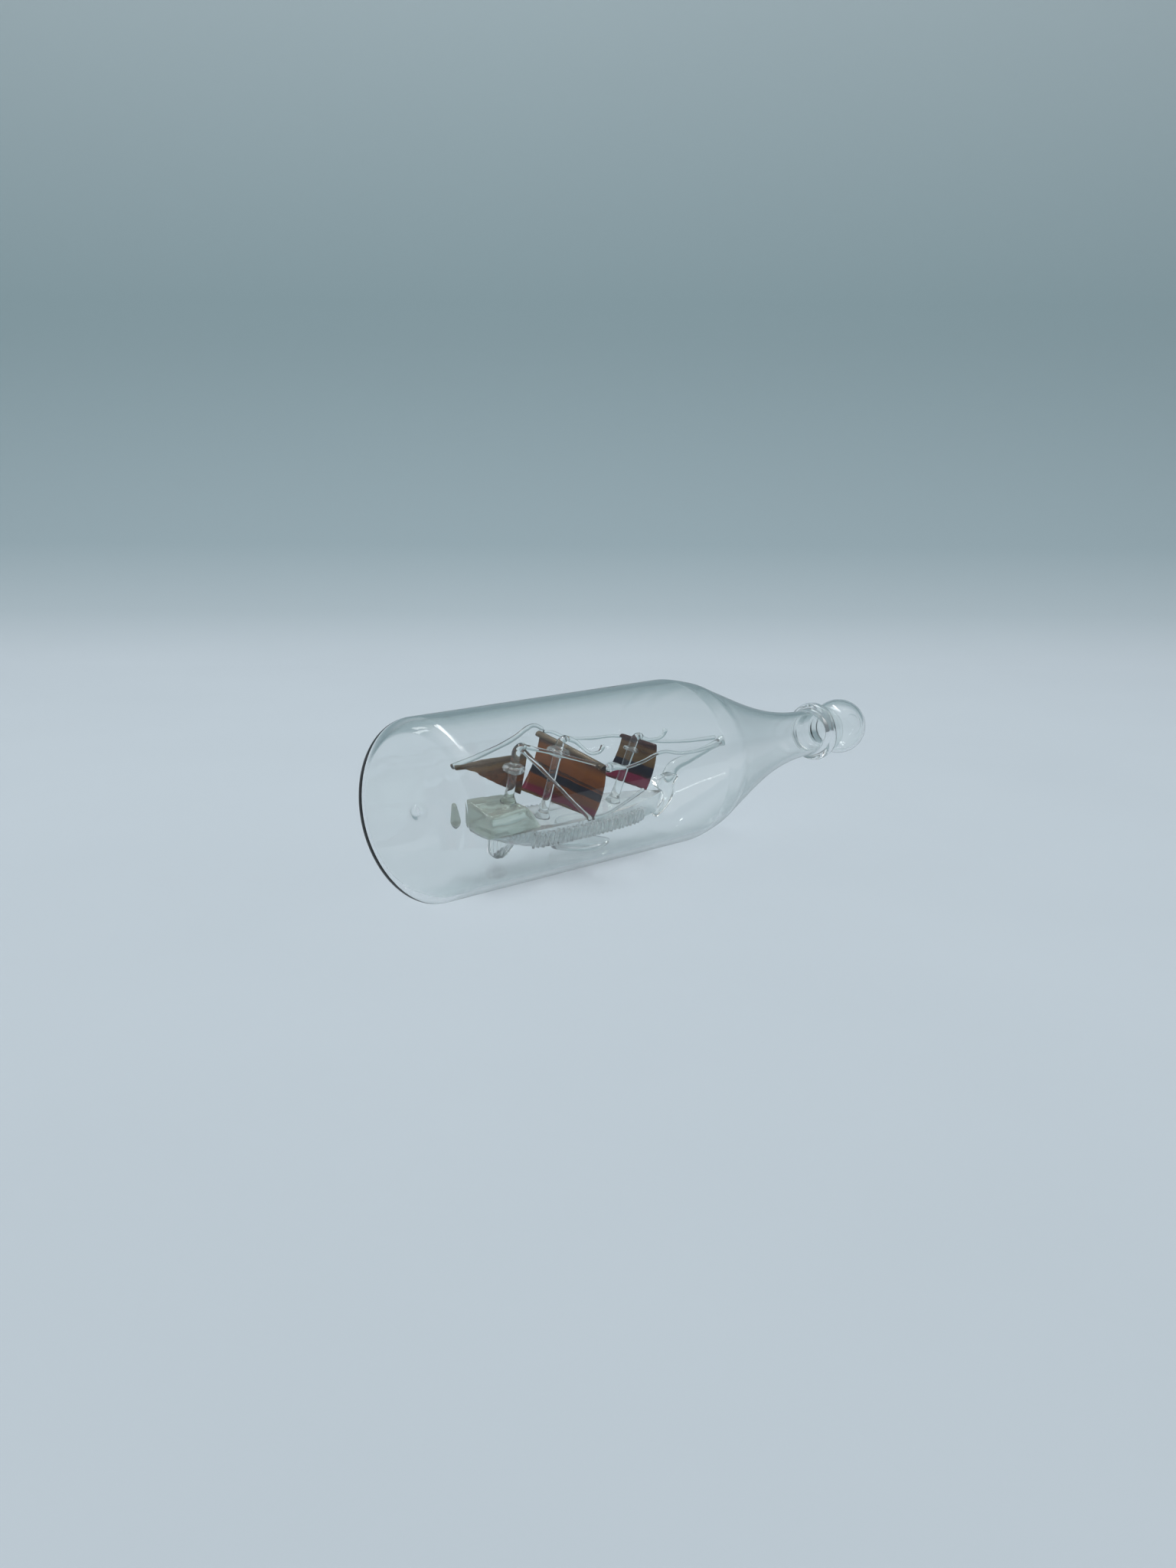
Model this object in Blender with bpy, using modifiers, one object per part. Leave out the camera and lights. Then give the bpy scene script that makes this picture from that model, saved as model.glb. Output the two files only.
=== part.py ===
"""Glass ship in a bottle: a lampworked three-master inside a bottle of clear tubing.

Units are metres, +Z is up.  The bottle lies along X with its base at -X and its neck at +X, on the
plane Z = 0.  The ship is laid out in its own frame: x runs forward from the transom, y to the far
side and z up from the bottle's axis.  That frame heels a few degrees about the bottle's axis.
"""
import math

import bmesh
import bpy
from mathutils import Vector

MM = 0.001

# Clearances
GAP = 0.3 * MM               # between pieces that touch
PLUG_CLEARANCE = 0.3 * MM    # all round the stopper's plug in the neck

# Bottle
BODY_RADIUS = 22.0 * MM
BODY_WALL = 1.8 * MM
BODY_LENGTH = 88.4 * MM      # base plane to the start of the shoulder
SHOULDER_LENGTH = 62.4 * MM
SHOULDER_EXPONENT = 0.75     # below 1 the shoulder falls away early
NECK_RADIUS = 6.6 * MM
NECK_WALL = 1.1 * MM
NECK_LENGTH = 10.1 * MM      # end of the shoulder to the mouth
COLLAR_RADIUS = 8.5 * MM
COLLAR_WIDTH = 3.4 * MM
COLLAR_OFFSET = 2.0 * MM     # end of the shoulder to the collar
BASE_THICKNESS = 2.0 * MM
BASE_EDGE_RADIUS = 3.2 * MM  # rounded heel, outside
BASE_FILLET = 1.8 * MM       # rounded corner, inside
BASE_LIP = 0.4 * MM          # straight wall from the fillet to the tube
BASE_RIM_WIDTH = 3.0 * MM    # flat ring that the base stands on
BASE_DISH = 0.9 * MM
PIP_RADIUS = 1.7 * MM
PIP_HEIGHT = 0.6 * MM
BALL_RADIUS = 8.3 * MM
BALL_WALL = 0.9 * MM
PLUG_LENGTH = 10.0 * MM      # plug inside the neck
BOTTLE_SIDES = 32
SHOULDER_STEPS = 14

# Derived bottle sizes
INNER_RADIUS = BODY_RADIUS - BODY_WALL
BASE_DEPTH = BASE_THICKNESS + BASE_FILLET + BASE_LIP
NECK_BORE = NECK_RADIUS - NECK_WALL
PLUG_RADIUS = NECK_BORE - PLUG_CLEARANCE
SHOULDER_END = BODY_LENGTH + SHOULDER_LENGTH
MOUTH = SHOULDER_END + NECK_LENGTH
BALL_CENTRE = MOUTH + GAP + math.sqrt(BALL_RADIUS ** 2 - NECK_BORE ** 2)
TOTAL_LENGTH = BALL_CENTRE + BALL_RADIUS

# Ship's place
HEEL = math.radians(13.0)
STERN_SETBACK = 20.3 * MM    # base plane to the transom

# Hull
HULL_LENGTH = 67.4 * MM
HULL_HALF_BEAM = 6.2 * MM
HULL_DEPTH = 8.7 * MM
HULL_WIDEST = 0.42           # share of the length, from the transom
STERN_TAPER = 0.18           # share of the beam lost at the transom
BOW_TAPER = 0.93             # and at the bow
BOW_TAPER_POWER = 2.6
KEEL_STERN_RISE = 0.95       # share of the depth lost at the transom
KEEL_STERN_POWER = 1.6
KEEL_BOW_RISE = 0.25         # and at the bow
SECTION_POWER = 0.75         # below 1 the hull's sections are boxy
CASTLE_LENGTH = 19.0 * MM
CASTLE_TOP_LENGTH = 13.0 * MM
CASTLE_HALF_WIDTH = 5.9 * MM
CASTLE_HEIGHT = 6.3 * MM
CASTLE_FORE_TAPER = 0.9      # width at the front over width at the transom
CASTLE_EDGE_RADIUS = 1.1 * MM
RAIL_START = 13.5 * MM
RAIL_LENGTH = 43.0 * MM
RAIL_HEIGHT = 2.8 * MM
RAIL_DROP = 0.4 * MM         # deck to the top of the rail, aft
RAIL_FORE_DROP = 1.0 * MM    # and forward
RAIL_THICKNESS = 0.9 * MM
RAIL_CRIMP = 0.35 * MM       # half the depth of one crimp
RAIL_CRIMP_PITCH = 1.65 * MM
STEM_THICKNESS = 1.8 * MM
STEM_WIDTH = 5.2 * MM        # fore and aft, across the blade
STEM_RISE = 4.2 * MM         # deck to the top of the blade
STEM_DROP = 7.6 * MM         # deck to the lower tip of the blade
BOWSPRIT_RADIUS = 1.1 * MM
BOWSPRIT_LENGTH = 20.4 * MM
BOWSPRIT_RISE = 7.0 * MM
BOWSPRIT_EYE_RADIUS = 1.6 * MM

# Feet between the hull and the bottle's wall
MID_FOOT_X = 38.9 * MM
MID_FOOT_Y = 1.3 * MM
MID_FOOT_TURN = math.radians(-12.5)
MID_FOOT_LENGTH = 18.0 * MM
MID_FOOT_WIDTH = 8.0 * MM
MID_FOOT_THICKNESS = 1.6 * MM     # what lifts the keel off the wall
AFT_FOOT_X = 12.8 * MM
AFT_FOOT_Y = 2.8 * MM
AFT_FOOT_LENGTH = 7.6 * MM
AFT_FOOT_WIDTH = 3.0 * MM
AFT_FOOT_RIBS = 9
AFT_FOOT_RIB_DEPTH = 0.25 * MM

# Masts: heights are above the deck, rakes are forward per unit of height
MAST_RADIUS = 1.1 * MM
MAST_FOOT_FLARE = 1.8        # foot radius over mast radius
MAST_HEAD_TAPER = 0.75       # head radius over mast radius
MAST_FLARE_HEIGHT = 1.8 * MM
HOOK_RADIUS = 1.5 * MM
HOOK_TURN = math.radians(120.0)
TOP_HEIGHT = 1.7 * MM        # depth of the ring on a mast
MIZZEN_X = 9.9 * MM
MIZZEN_RAKE = 0.0
MIZZEN_HEAD = 19.0 * MM
MIZZEN_TOP = 15.0 * MM
MIZZEN_TOP_RADIUS = 2.8 * MM
MAIN_AHEAD = 3.9 * MM        # castle's front to the mast
MAIN_RAKE = 0.10
MAIN_HEAD = 19.0 * MM
MAIN_TOP = 17.3 * MM
MAIN_TOP_RADIUS = 3.0 * MM
FORE_AHEAD = 26.0 * MM       # main mast to fore mast
FORE_RAKE = 0.24
FORE_HEAD = 16.1 * MM
FORE_TOP = 14.2 * MM
FORE_TOP_RADIUS = 2.1 * MM

# Sails: plates of amber glass, heights above the deck
SAIL_THICKNESS = 0.6 * MM
MAIN_SAIL_HEAD = 18.7 * MM              # at the far edge
MAIN_SAIL_NEAR_LIFT = -0.8 * MM        # near upper corner above the far one
MAIN_SAIL_NEAR_CLEARANCE = 4.6 * MM    # upper corner to the bottle's wall
MAIN_SAIL_FAR_CLEARANCE = 7.0 * MM
MAIN_SAIL_FOOT_WIDTH = 25.8 * MM
MAIN_SAIL_FOOT_SHIFT = -0.4 * MM
MAIN_SAIL_NEAR_DROP = 13.5 * MM
MAIN_SAIL_FAR_DROP = 16.9 * MM
MAIN_SAIL_BELLY = 1.0 * MM
MAIN_SAIL_FOOT_AFT = 1.6 * MM
FORE_SAIL_HEAD = 15.8 * MM
FORE_SAIL_NEAR_LIFT = 1.2 * MM
FORE_SAIL_HEAD_WIDTH = 11.8 * MM
FORE_SAIL_HEAD_SHIFT = 0.1 * MM
FORE_SAIL_FOOT_WIDTH = 14.7 * MM
FORE_SAIL_FOOT_SHIFT = 1.2 * MM
FORE_SAIL_NEAR_DROP = 12.2 * MM
FORE_SAIL_FAR_DROP = 12.6 * MM
FORE_SAIL_BELLY = 0.8 * MM
FORE_SAIL_FOOT_AFT = 1.2 * MM
MIZZEN_SAIL_REACH = 16.4 * MM     # mast to the after tip
MIZZEN_SAIL_FORWARD = 7.4 * MM    # mast to the fore edge
MIZZEN_SAIL_PEAK = 16.0 * MM
MIZZEN_SAIL_THROAT = 16.8 * MM
MIZZEN_SAIL_TACK = 5.6 * MM

# Rigging: drawn glass threads, which stand stiff
THREAD_RADIUS = 0.45 * MM
FAR_STAY_RADIUS = 0.65 * MM
BEAD_RADIUS = 1.2 * MM
PENNANT_RADIUS = 0.45 * MM
BRACE_SAG = 1.2 * MM
BRACE_OUTREACH = 1.9 * MM    # fore sail's edge to a brace that passes it
LOWER_THREAD_SAG = 0.9 * MM
BRACE_PASSES = 0.9           # height up the fore sail at which a brace passes it
FAR_STAY_LIFT = 2.1 * MM
MAIN_PENNANT_LENGTH = 14.1 * MM
MAIN_PENNANT_DROP = 5.5 * MM
FORE_PENNANT_LENGTH = 9.9 * MM
FORE_PENNANT_DROP = 1.8 * MM

# Shapes of hand-drawn threads: shares of the way along, with shares of the lift or drop
FAR_STAY_SHAPE = [(0.0, 0.0), (0.3, 0.05), (0.57, 0.2), (0.69, 0.45), (0.79, 0.9), (0.88, 1.0), (1.0, 0.0)]
MAIN_PENNANT_SHAPE = [(0.24, 0.22), (0.48, 0.62), (0.70, 0.95), (0.86, 1.0), (0.97, 0.91), (1.0, 0.73)]
FORE_PENNANT_SHAPE = [(0.24, 0.72), (0.55, 1.0), (0.83, 0.94), (0.97, 0.5), (1.0, -0.1)]

# Derived places in the ship's frame
MID_FOOT_SOLE = -math.sqrt((INNER_RADIUS - GAP) ** 2 - (MID_FOOT_Y + MID_FOOT_WIDTH / 2.0) ** 2)
KEEL = MID_FOOT_SOLE + MID_FOOT_THICKNESS + GAP
DECK = KEEL + HULL_DEPTH
CASTLE_TOP = DECK + GAP + CASTLE_HEIGHT
MAIN_X = CASTLE_LENGTH + MAIN_AHEAD
FORE_X = MAIN_X + FORE_AHEAD
MAIN_SAIL_CHORD = math.sqrt(INNER_RADIUS ** 2 - (DECK + MAIN_SAIL_HEAD) ** 2)
MAIN_SAIL_HEAD_WIDTH = 2.0 * MAIN_SAIL_CHORD - MAIN_SAIL_NEAR_CLEARANCE - MAIN_SAIL_FAR_CLEARANCE
MAIN_SAIL_HEAD_SHIFT = (MAIN_SAIL_NEAR_CLEARANCE - MAIN_SAIL_FAR_CLEARANCE) / 2.0

# Finishes: colour, roughness and transmission, all glass
CLEAR = ((0.86, 0.93, 0.93), 0.03, 1.0)
BASE_GLASS = ((0.74, 0.82, 0.80), 0.05, 1.0)
SEA_GREEN = ((0.66, 0.74, 0.69), 0.06, 0.9)
AMBER = ((0.29, 0.13, 0.06), 0.08, 0.5)


def clear_scene():
    """Remove whatever the scene starts with."""
    for item in list(bpy.data.objects):
        bpy.data.objects.remove(item, do_unlink=True)


def new_collection(name):
    """A collection linked to the scene."""
    group = bpy.data.collections.new(name)
    bpy.context.scene.collection.children.link(group)
    return group


def new_empty(name, group, location, rotation=(0.0, 0.0, 0.0)):
    """An empty that places the pieces parented to it."""
    empty = bpy.data.objects.new(name, None)
    empty.location = location
    empty.rotation_euler = rotation
    group.objects.link(empty)
    return empty


def glass(name, finish):
    """A Principled glass with the finish's colour, roughness and transmission."""
    colour, roughness, transmission = finish
    material = bpy.data.materials.new(name + "_glass")
    material.use_nodes = True
    shader = material.node_tree.nodes["Principled BSDF"]
    shader.inputs["Base Color"].default_value = (*colour, 1.0)
    shader.inputs["Roughness"].default_value = roughness
    shader.inputs["Metallic"].default_value = 0.0
    shader.inputs["Transmission Weight"].default_value = transmission
    return material


def add_piece(name, data, parent, finish):
    """A named object in its parent's collection, with its own material."""
    piece = bpy.data.objects.new(name, data)
    data.materials.append(glass(name, finish))
    piece.parent = parent
    parent.users_collection[0].objects.link(piece)
    return piece


def mesh_from(name, bm):
    """A smooth shaded mesh from a bmesh, with creases at sharp edges."""
    mesh = bpy.data.meshes.new(name)
    bm.to_mesh(mesh)
    bm.free()
    mesh.shade_smooth()
    mesh.set_sharp_from_angle(angle=math.radians(40.0))
    return mesh


def turned(name, profile, parent, finish, sides, closed):
    """A turned piece on the parent's X axis.

    The profile is a list of (distance along the axis, radius to the flats) that runs down the
    outer side from the +X end.  A flat faces straight down.
    """
    half_step = math.pi / sides
    bm = bmesh.new()
    verts = []
    for along, radius in profile:
        corner = radius / math.cos(half_step)
        verts.append(bm.verts.new((corner * math.cos(half_step), corner * math.sin(half_step), along)))
    for first, second in zip(verts, verts[1:]):
        bm.edges.new((first, second))
    if closed:
        bm.edges.new((verts[-1], verts[0]))
    piece = add_piece(name, mesh_from(name, bm), parent, finish)
    screw = piece.modifiers.new("Turn", "SCREW")
    screw.axis = "Z"
    screw.steps = sides
    screw.render_steps = sides
    screw.use_merge_vertices = True
    screw.merge_threshold = 0.00001
    piece.rotation_euler = (0.0, math.pi / 2.0, 0.0)
    return piece


def smooth_route(points, per_span):
    """Points on a smooth curve through (position, radius) pairs."""
    rows = [(*position, radius) for position, radius in points]
    route = []
    for i in range(len(rows) - 1):
        before = rows[max(i - 1, 0)]
        after = rows[min(i + 2, len(rows) - 1)]
        for k in range(per_span):
            t = k / per_span
            route.append([blend(t, *values) for values in zip(before, rows[i], rows[i + 1], after)])
    route.append(list(rows[-1]))
    return route


def blend(t, a, b, c, d):
    """Value at t on the smooth span from b to c, with neighbours a and d."""
    slope_in = 0.5 * (c - a)
    slope_out = 0.5 * (d - b)
    rest = c - b
    return b + slope_in * t + (3 * rest - 2 * slope_in - slope_out) * t ** 2 \
        + (slope_in + slope_out - 2 * rest) * t ** 3


def rod(name, points, parent, finish, per_span=4):
    """A round rod or thread through (position, radius) pairs, with capped ends."""
    route = smooth_route(points, per_span)
    curve = bpy.data.curves.new(name, "CURVE")
    curve.dimensions = "3D"
    curve.bevel_depth = 1.0 * MM
    curve.bevel_resolution = 2
    curve.use_fill_caps = True
    spline = curve.splines.new("POLY")
    spline.points.add(len(route) - 1)
    for point, (x, y, z, radius) in zip(spline.points, route):
        point.co = (x, y, z, 1.0)
        point.radius = radius / curve.bevel_depth
    return add_piece(name, curve, parent, finish)


def plate(name, outline, thickness, parent, finish):
    """A flat plate of this thickness from a closed outline of (x, y, is_corner) points."""
    curve = bpy.data.curves.new(name, "CURVE")
    curve.dimensions = "2D"
    curve.fill_mode = "BOTH"
    curve.extrude = thickness / 2.0
    curve.resolution_u = 3
    spline = curve.splines.new("BEZIER")
    spline.use_cyclic_u = True
    spline.bezier_points.add(len(outline) - 1)
    for point, (x, y, is_corner) in zip(spline.bezier_points, outline):
        point.co = (x, y, 0.0)
        handle = "VECTOR" if is_corner else "AUTO"
        point.handle_left_type = handle
        point.handle_right_type = handle
    return add_piece(name, curve, parent, finish)


def shell(name, columns, rows, place, thickness, parent, finish):
    """A curved sheet of even thickness: place(u, v) gives each point, u and v from 0 to 1."""
    bm = bmesh.new()
    bmesh.ops.create_grid(bm, x_segments=columns, y_segments=rows, size=0.5)
    for vert in bm.verts:
        vert.co = place(vert.co.x + 0.5, vert.co.y + 0.5)
    piece = add_piece(name, mesh_from(name, bm), parent, finish)
    solidify = piece.modifiers.new("Thickness", "SOLIDIFY")
    solidify.thickness = thickness
    solidify.offset = 0.0
    return piece


def shoulder_radius(u):
    """Outer radius along the shoulder, u from 0 at the body to 1 at the neck."""
    fall = 0.5 * (1.0 + math.cos(math.pi * u ** SHOULDER_EXPONENT))
    return NECK_RADIUS + (BODY_RADIUS - NECK_RADIUS) * fall


def arc(centre, radius, start, stop, steps):
    """(distance along the axis, radius) points on a circle about a point of the axis."""
    angles = [start + (stop - start) * i / steps for i in range(steps + 1)]
    return [(centre + radius * math.cos(a), radius * math.sin(a)) for a in angles]


def corner_arc(plane, radius, rounding):
    """(distance along the axis, radius) points that round a corner, from its end plane to its side."""
    angles = [math.radians(turn) for turn in (0.0, 30.0, 60.0, 90.0)]
    return [(plane + rounding * (1.0 - math.sin(a)), radius - rounding * (1.0 - math.cos(a)))
            for a in reversed(angles)]


def build_bottle_body(bottle):
    """The tube, its shoulder and its neck, open at both ends."""
    outer = [(MOUTH, NECK_RADIUS)]
    inner = [(BASE_DEPTH + GAP, INNER_RADIUS)]
    for i in range(SHOULDER_STEPS + 1):
        u = i / SHOULDER_STEPS
        along = BODY_LENGTH + SHOULDER_LENGTH * u
        wall = BODY_WALL + (NECK_WALL - BODY_WALL) * u
        outer.insert(1, (along, shoulder_radius(u)))
        inner.append((along, shoulder_radius(u) - wall))
    outer.append((BASE_DEPTH + GAP, BODY_RADIUS))
    inner.append((MOUTH, NECK_BORE))
    turned("bottle_body", outer + inner, bottle, CLEAR, BOTTLE_SIDES, closed=True)


def build_bottle_base(bottle):
    """The dished cup that closes the tube, with the pip left where its rod broke off."""
    standing = BODY_RADIUS - BASE_EDGE_RADIUS
    inside = standing - BASE_RIM_WIDTH
    pip_side = BASE_DISH - PIP_HEIGHT
    profile = [(BASE_THICKNESS + BASE_DISH, 0.0), (BASE_THICKNESS + 0.7 * BASE_DISH, 0.5 * inside),
               (BASE_THICKNESS, inside)]
    profile += corner_arc(BASE_THICKNESS, INNER_RADIUS, BASE_FILLET)
    profile += [(BASE_DEPTH, INNER_RADIUS), (BASE_DEPTH, BODY_RADIUS)]
    profile += reversed(corner_arc(0.0, BODY_RADIUS, BASE_EDGE_RADIUS))
    profile += [(0.0, inside), (0.7 * BASE_DISH, 0.5 * inside), (BASE_DISH, PIP_RADIUS),
                (pip_side, 0.7 * PIP_RADIUS), (pip_side, 0.0)]
    turned("bottle_base", profile, bottle, BASE_GLASS, BOTTLE_SIDES, closed=False)


def build_neck_collar(bottle):
    """The ring round the neck, thin at its rim."""
    bore = NECK_RADIUS + GAP
    middle = SHOULDER_END + COLLAR_OFFSET + COLLAR_WIDTH / 2.0
    profile = [(middle + COLLAR_WIDTH / 2.0, bore)]
    for turn in range(75, -76, -25):
        angle = math.radians(turn)
        profile.append((middle + COLLAR_WIDTH / 2.0 * math.sin(angle),
                        bore + (COLLAR_RADIUS - bore) * math.cos(angle)))
    profile.append((middle - COLLAR_WIDTH / 2.0, bore))
    turned("neck_collar", profile, bottle, CLEAR, BOTTLE_SIDES, closed=True)


def build_ball_stopper(stopper):
    """The hollow blown ball and its open plug, about the centre of the ball."""
    inner_ball = BALL_RADIUS - BALL_WALL
    plug_bore = PLUG_RADIUS - BALL_WALL
    plug_end = MOUTH - PLUG_LENGTH - BALL_CENTRE
    outer_stop = math.pi - math.asin(PLUG_RADIUS / BALL_RADIUS)
    inner_stop = math.pi - math.asin(plug_bore / inner_ball)
    profile = arc(0.0, BALL_RADIUS, 0.0, outer_stop, 9)
    profile += [(plug_end, PLUG_RADIUS), (plug_end, plug_bore)]
    profile += arc(0.0, inner_ball, inner_stop, 0.0, 8)
    turned("ball_stopper", profile, stopper, CLEAR, BOTTLE_SIDES, closed=False)


def half_beam(x):
    """Half the hull's width at the deck, x forward from the transom."""
    widest = HULL_WIDEST * HULL_LENGTH
    if x < widest:
        return HULL_HALF_BEAM * (1.0 - STERN_TAPER * (1.0 - x / widest) ** 2)
    return HULL_HALF_BEAM * (1.0 - BOW_TAPER * ((x - widest) / (HULL_LENGTH - widest)) ** BOW_TAPER_POWER)


def keel_depth(x):
    """Depth from the deck to the keel, x forward from the transom."""
    deepest = HULL_WIDEST * HULL_LENGTH
    if x < deepest:
        return HULL_DEPTH * (1.0 - KEEL_STERN_RISE * (1.0 - x / deepest) ** KEEL_STERN_POWER)
    return HULL_DEPTH * (1.0 - KEEL_BOW_RISE * ((x - deepest) / (HULL_LENGTH - deepest)) ** 2)


def build_hull(ship):
    """A solid boat-shaped body with a flat deck, lofted through its stations."""
    stations = 12
    ribs = 10
    bm = bmesh.new()
    rings = []
    for i in range(stations + 1):
        x = HULL_LENGTH * (1.0 - (1.0 - i / stations) ** 1.3)
        ring = []
        for k in range(ribs + 1):
            angle = math.pi * k / ribs
            side = -math.copysign(abs(math.cos(angle)) ** SECTION_POWER, math.cos(angle))
            depth = keel_depth(x) * abs(math.sin(angle)) ** SECTION_POWER
            ring.append(bm.verts.new((x, half_beam(x) * side, DECK - depth)))
        rings.append(ring)
    for ring in (rings[0], rings[-1]):
        bm.faces.new(ring)
    for first, second in zip(rings, rings[1:]):
        for k in range(ribs + 1):
            following = (k + 1) % (ribs + 1)
            bm.faces.new((first[k], first[following], second[following], second[k]))
    bmesh.ops.recalc_face_normals(bm, faces=bm.faces[:])
    add_piece("hull", mesh_from("hull", bm), ship, CLEAR)


def build_stern_castle(ship):
    """The raised block at the stern, its front sloping down to the deck."""
    bm = bmesh.new()
    bmesh.ops.create_cube(bm, size=1.0)
    for vert in bm.verts:
        length = CASTLE_TOP_LENGTH if vert.co.z > 0.0 else CASTLE_LENGTH
        vert.co.x = (vert.co.x + 0.5) * length
        taper = 1.0 + (CASTLE_FORE_TAPER - 1.0) * vert.co.x / CASTLE_LENGTH
        vert.co.y = vert.co.y * 2.0 * CASTLE_HALF_WIDTH * taper
        vert.co.z = DECK + GAP + (vert.co.z + 0.5) * CASTLE_HEIGHT
    piece = add_piece("stern_castle", mesh_from("stern_castle", bm), ship, SEA_GREEN)
    bevel = piece.modifiers.new("Fire polish", "BEVEL")
    bevel.width = CASTLE_EDGE_RADIUS
    bevel.segments = 3


def build_rail(name, side, ship):
    """A strip crimped into waves along one side of the hull, just below the deck."""
    crimps = round(RAIL_LENGTH / RAIL_CRIMP_PITCH)
    outset = GAP + RAIL_THICKNESS / 2.0 + RAIL_CRIMP

    def place(u, v):
        x = RAIL_START + RAIL_LENGTH * u
        wave = RAIL_CRIMP * math.cos(2.0 * math.pi * crimps * u)
        y = side * (half_beam(x) + outset + wave)
        drop = RAIL_DROP + (RAIL_FORE_DROP - RAIL_DROP) * u
        return Vector((x, y, DECK - drop - RAIL_HEIGHT * (1.0 - v)))

    shell(name, 2 * crimps, 1, place, RAIL_THICKNESS, ship, CLEAR)


def stem_points():
    """Outline of the bow blade as (x, z, is_corner), round from its upper after corner."""
    aft = HULL_LENGTH + GAP
    top = DECK + STEM_RISE
    tip = DECK - STEM_DROP
    fore = aft + STEM_WIDTH
    return [(aft - 0.6 * STEM_WIDTH, top, True), (aft - 0.4 * STEM_WIDTH, DECK + 0.35 * STEM_RISE, False),
            (aft, DECK, False), (aft + 0.3 * STEM_WIDTH, DECK - 0.45 * STEM_DROP, False),
            (aft, tip + 0.06 * STEM_DROP, False), (aft + 0.15 * STEM_WIDTH, tip, False),
            (fore - 0.25 * STEM_WIDTH, DECK - 0.62 * STEM_DROP, False),
            (fore, DECK - 0.2 * STEM_DROP, False),
            (fore - 0.1 * STEM_WIDTH, DECK + 0.35 * STEM_RISE, False), (fore, top, True)]


def build_stem_plate(ship):
    """The upright crescent blade that the bow ends in."""
    piece = plate("stem_plate", stem_points(), STEM_THICKNESS, ship, CLEAR)
    piece.rotation_euler = (math.pi / 2.0, 0.0, 0.0)


def bowsprit_root():
    """Where the bowsprit leaves the top of the bow blade."""
    return Vector((HULL_LENGTH + GAP + 0.45 * STEM_WIDTH, 0.0, DECK + STEM_RISE + GAP))


def bowsprit_eye():
    """Centre of the bead at the bowsprit's tip."""
    return bowsprit_root() + Vector((BOWSPRIT_LENGTH, 0.0, BOWSPRIT_RISE))


def build_bowsprit(ship):
    """The tapered spar that rises from the bow blade, with a bead at its tip."""
    root = bowsprit_root()
    eye = bowsprit_eye()
    stub = root + Vector((0.0, 0.0, BOWSPRIT_RADIUS))
    elbow = stub + Vector((1.4 * BOWSPRIT_RADIUS, 0.0, 0.9 * BOWSPRIT_RADIUS))
    along = (eye - elbow).normalized()
    points = [(root, 1.4 * BOWSPRIT_RADIUS), (stub, 1.5 * BOWSPRIT_RADIUS), (elbow, 1.5 * BOWSPRIT_RADIUS),
              (elbow.lerp(eye, 0.3), 1.2 * BOWSPRIT_RADIUS), (elbow.lerp(eye, 0.75), 0.9 * BOWSPRIT_RADIUS),
              (eye - along * BOWSPRIT_EYE_RADIUS, BOWSPRIT_RADIUS), (eye, BOWSPRIT_EYE_RADIUS),
              (eye + along * 0.7 * BOWSPRIT_EYE_RADIUS, 0.6 * BOWSPRIT_EYE_RADIUS)]
    rod("bowsprit", points, ship, CLEAR)


def build_mid_foot(ship):
    """The leaf-shaped pad under the keel amidships."""
    half = MID_FOOT_LENGTH / 2.0
    side = MID_FOOT_WIDTH / 2.0
    outline = [(-half, 0.0, True), (0.0, -side, False), (half, 0.0, True), (0.0, side, False)]
    piece = plate("mid_foot", outline, MID_FOOT_THICKNESS, ship, CLEAR)
    piece.location = (MID_FOOT_X, MID_FOOT_Y, MID_FOOT_SOLE + MID_FOOT_THICKNESS / 2.0)
    piece.rotation_euler = (0.0, 0.0, MID_FOOT_TURN)


def build_aft_foot(ship):
    """The scalloped half-round pad under the stern, its rim crimped into ribs."""
    low = -math.sqrt((INNER_RADIUS - GAP) ** 2 - (AFT_FOOT_Y + AFT_FOOT_WIDTH / 2.0) ** 2)
    half = AFT_FOOT_LENGTH / 2.0
    outline = []
    for share in (1.0, 0.5, 0.0, -0.5, -1.0):
        x = AFT_FOOT_X + share * half
        outline.append((share * half, DECK - keel_depth(x) - GAP, True))
    side = outline[0][1] - AFT_FOOT_RIB_DEPTH
    steps = 4 * AFT_FOOT_RIBS
    for i in range(steps + 1):
        angle = math.pi * (1.0 + i / steps)
        rib = AFT_FOOT_RIB_DEPTH * (0.5 - 0.5 * math.cos(2.0 * math.pi * AFT_FOOT_RIBS * i / steps))
        outline.append(((half - rib) * math.cos(angle), side + (side - low - rib) * math.sin(angle), True))
    piece = plate("aft_foot", outline, AFT_FOOT_WIDTH, ship, CLEAR)
    piece.location = (AFT_FOOT_X, AFT_FOOT_Y, 0.0)
    piece.rotation_euler = (math.pi / 2.0, 0.0, 0.0)


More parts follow.
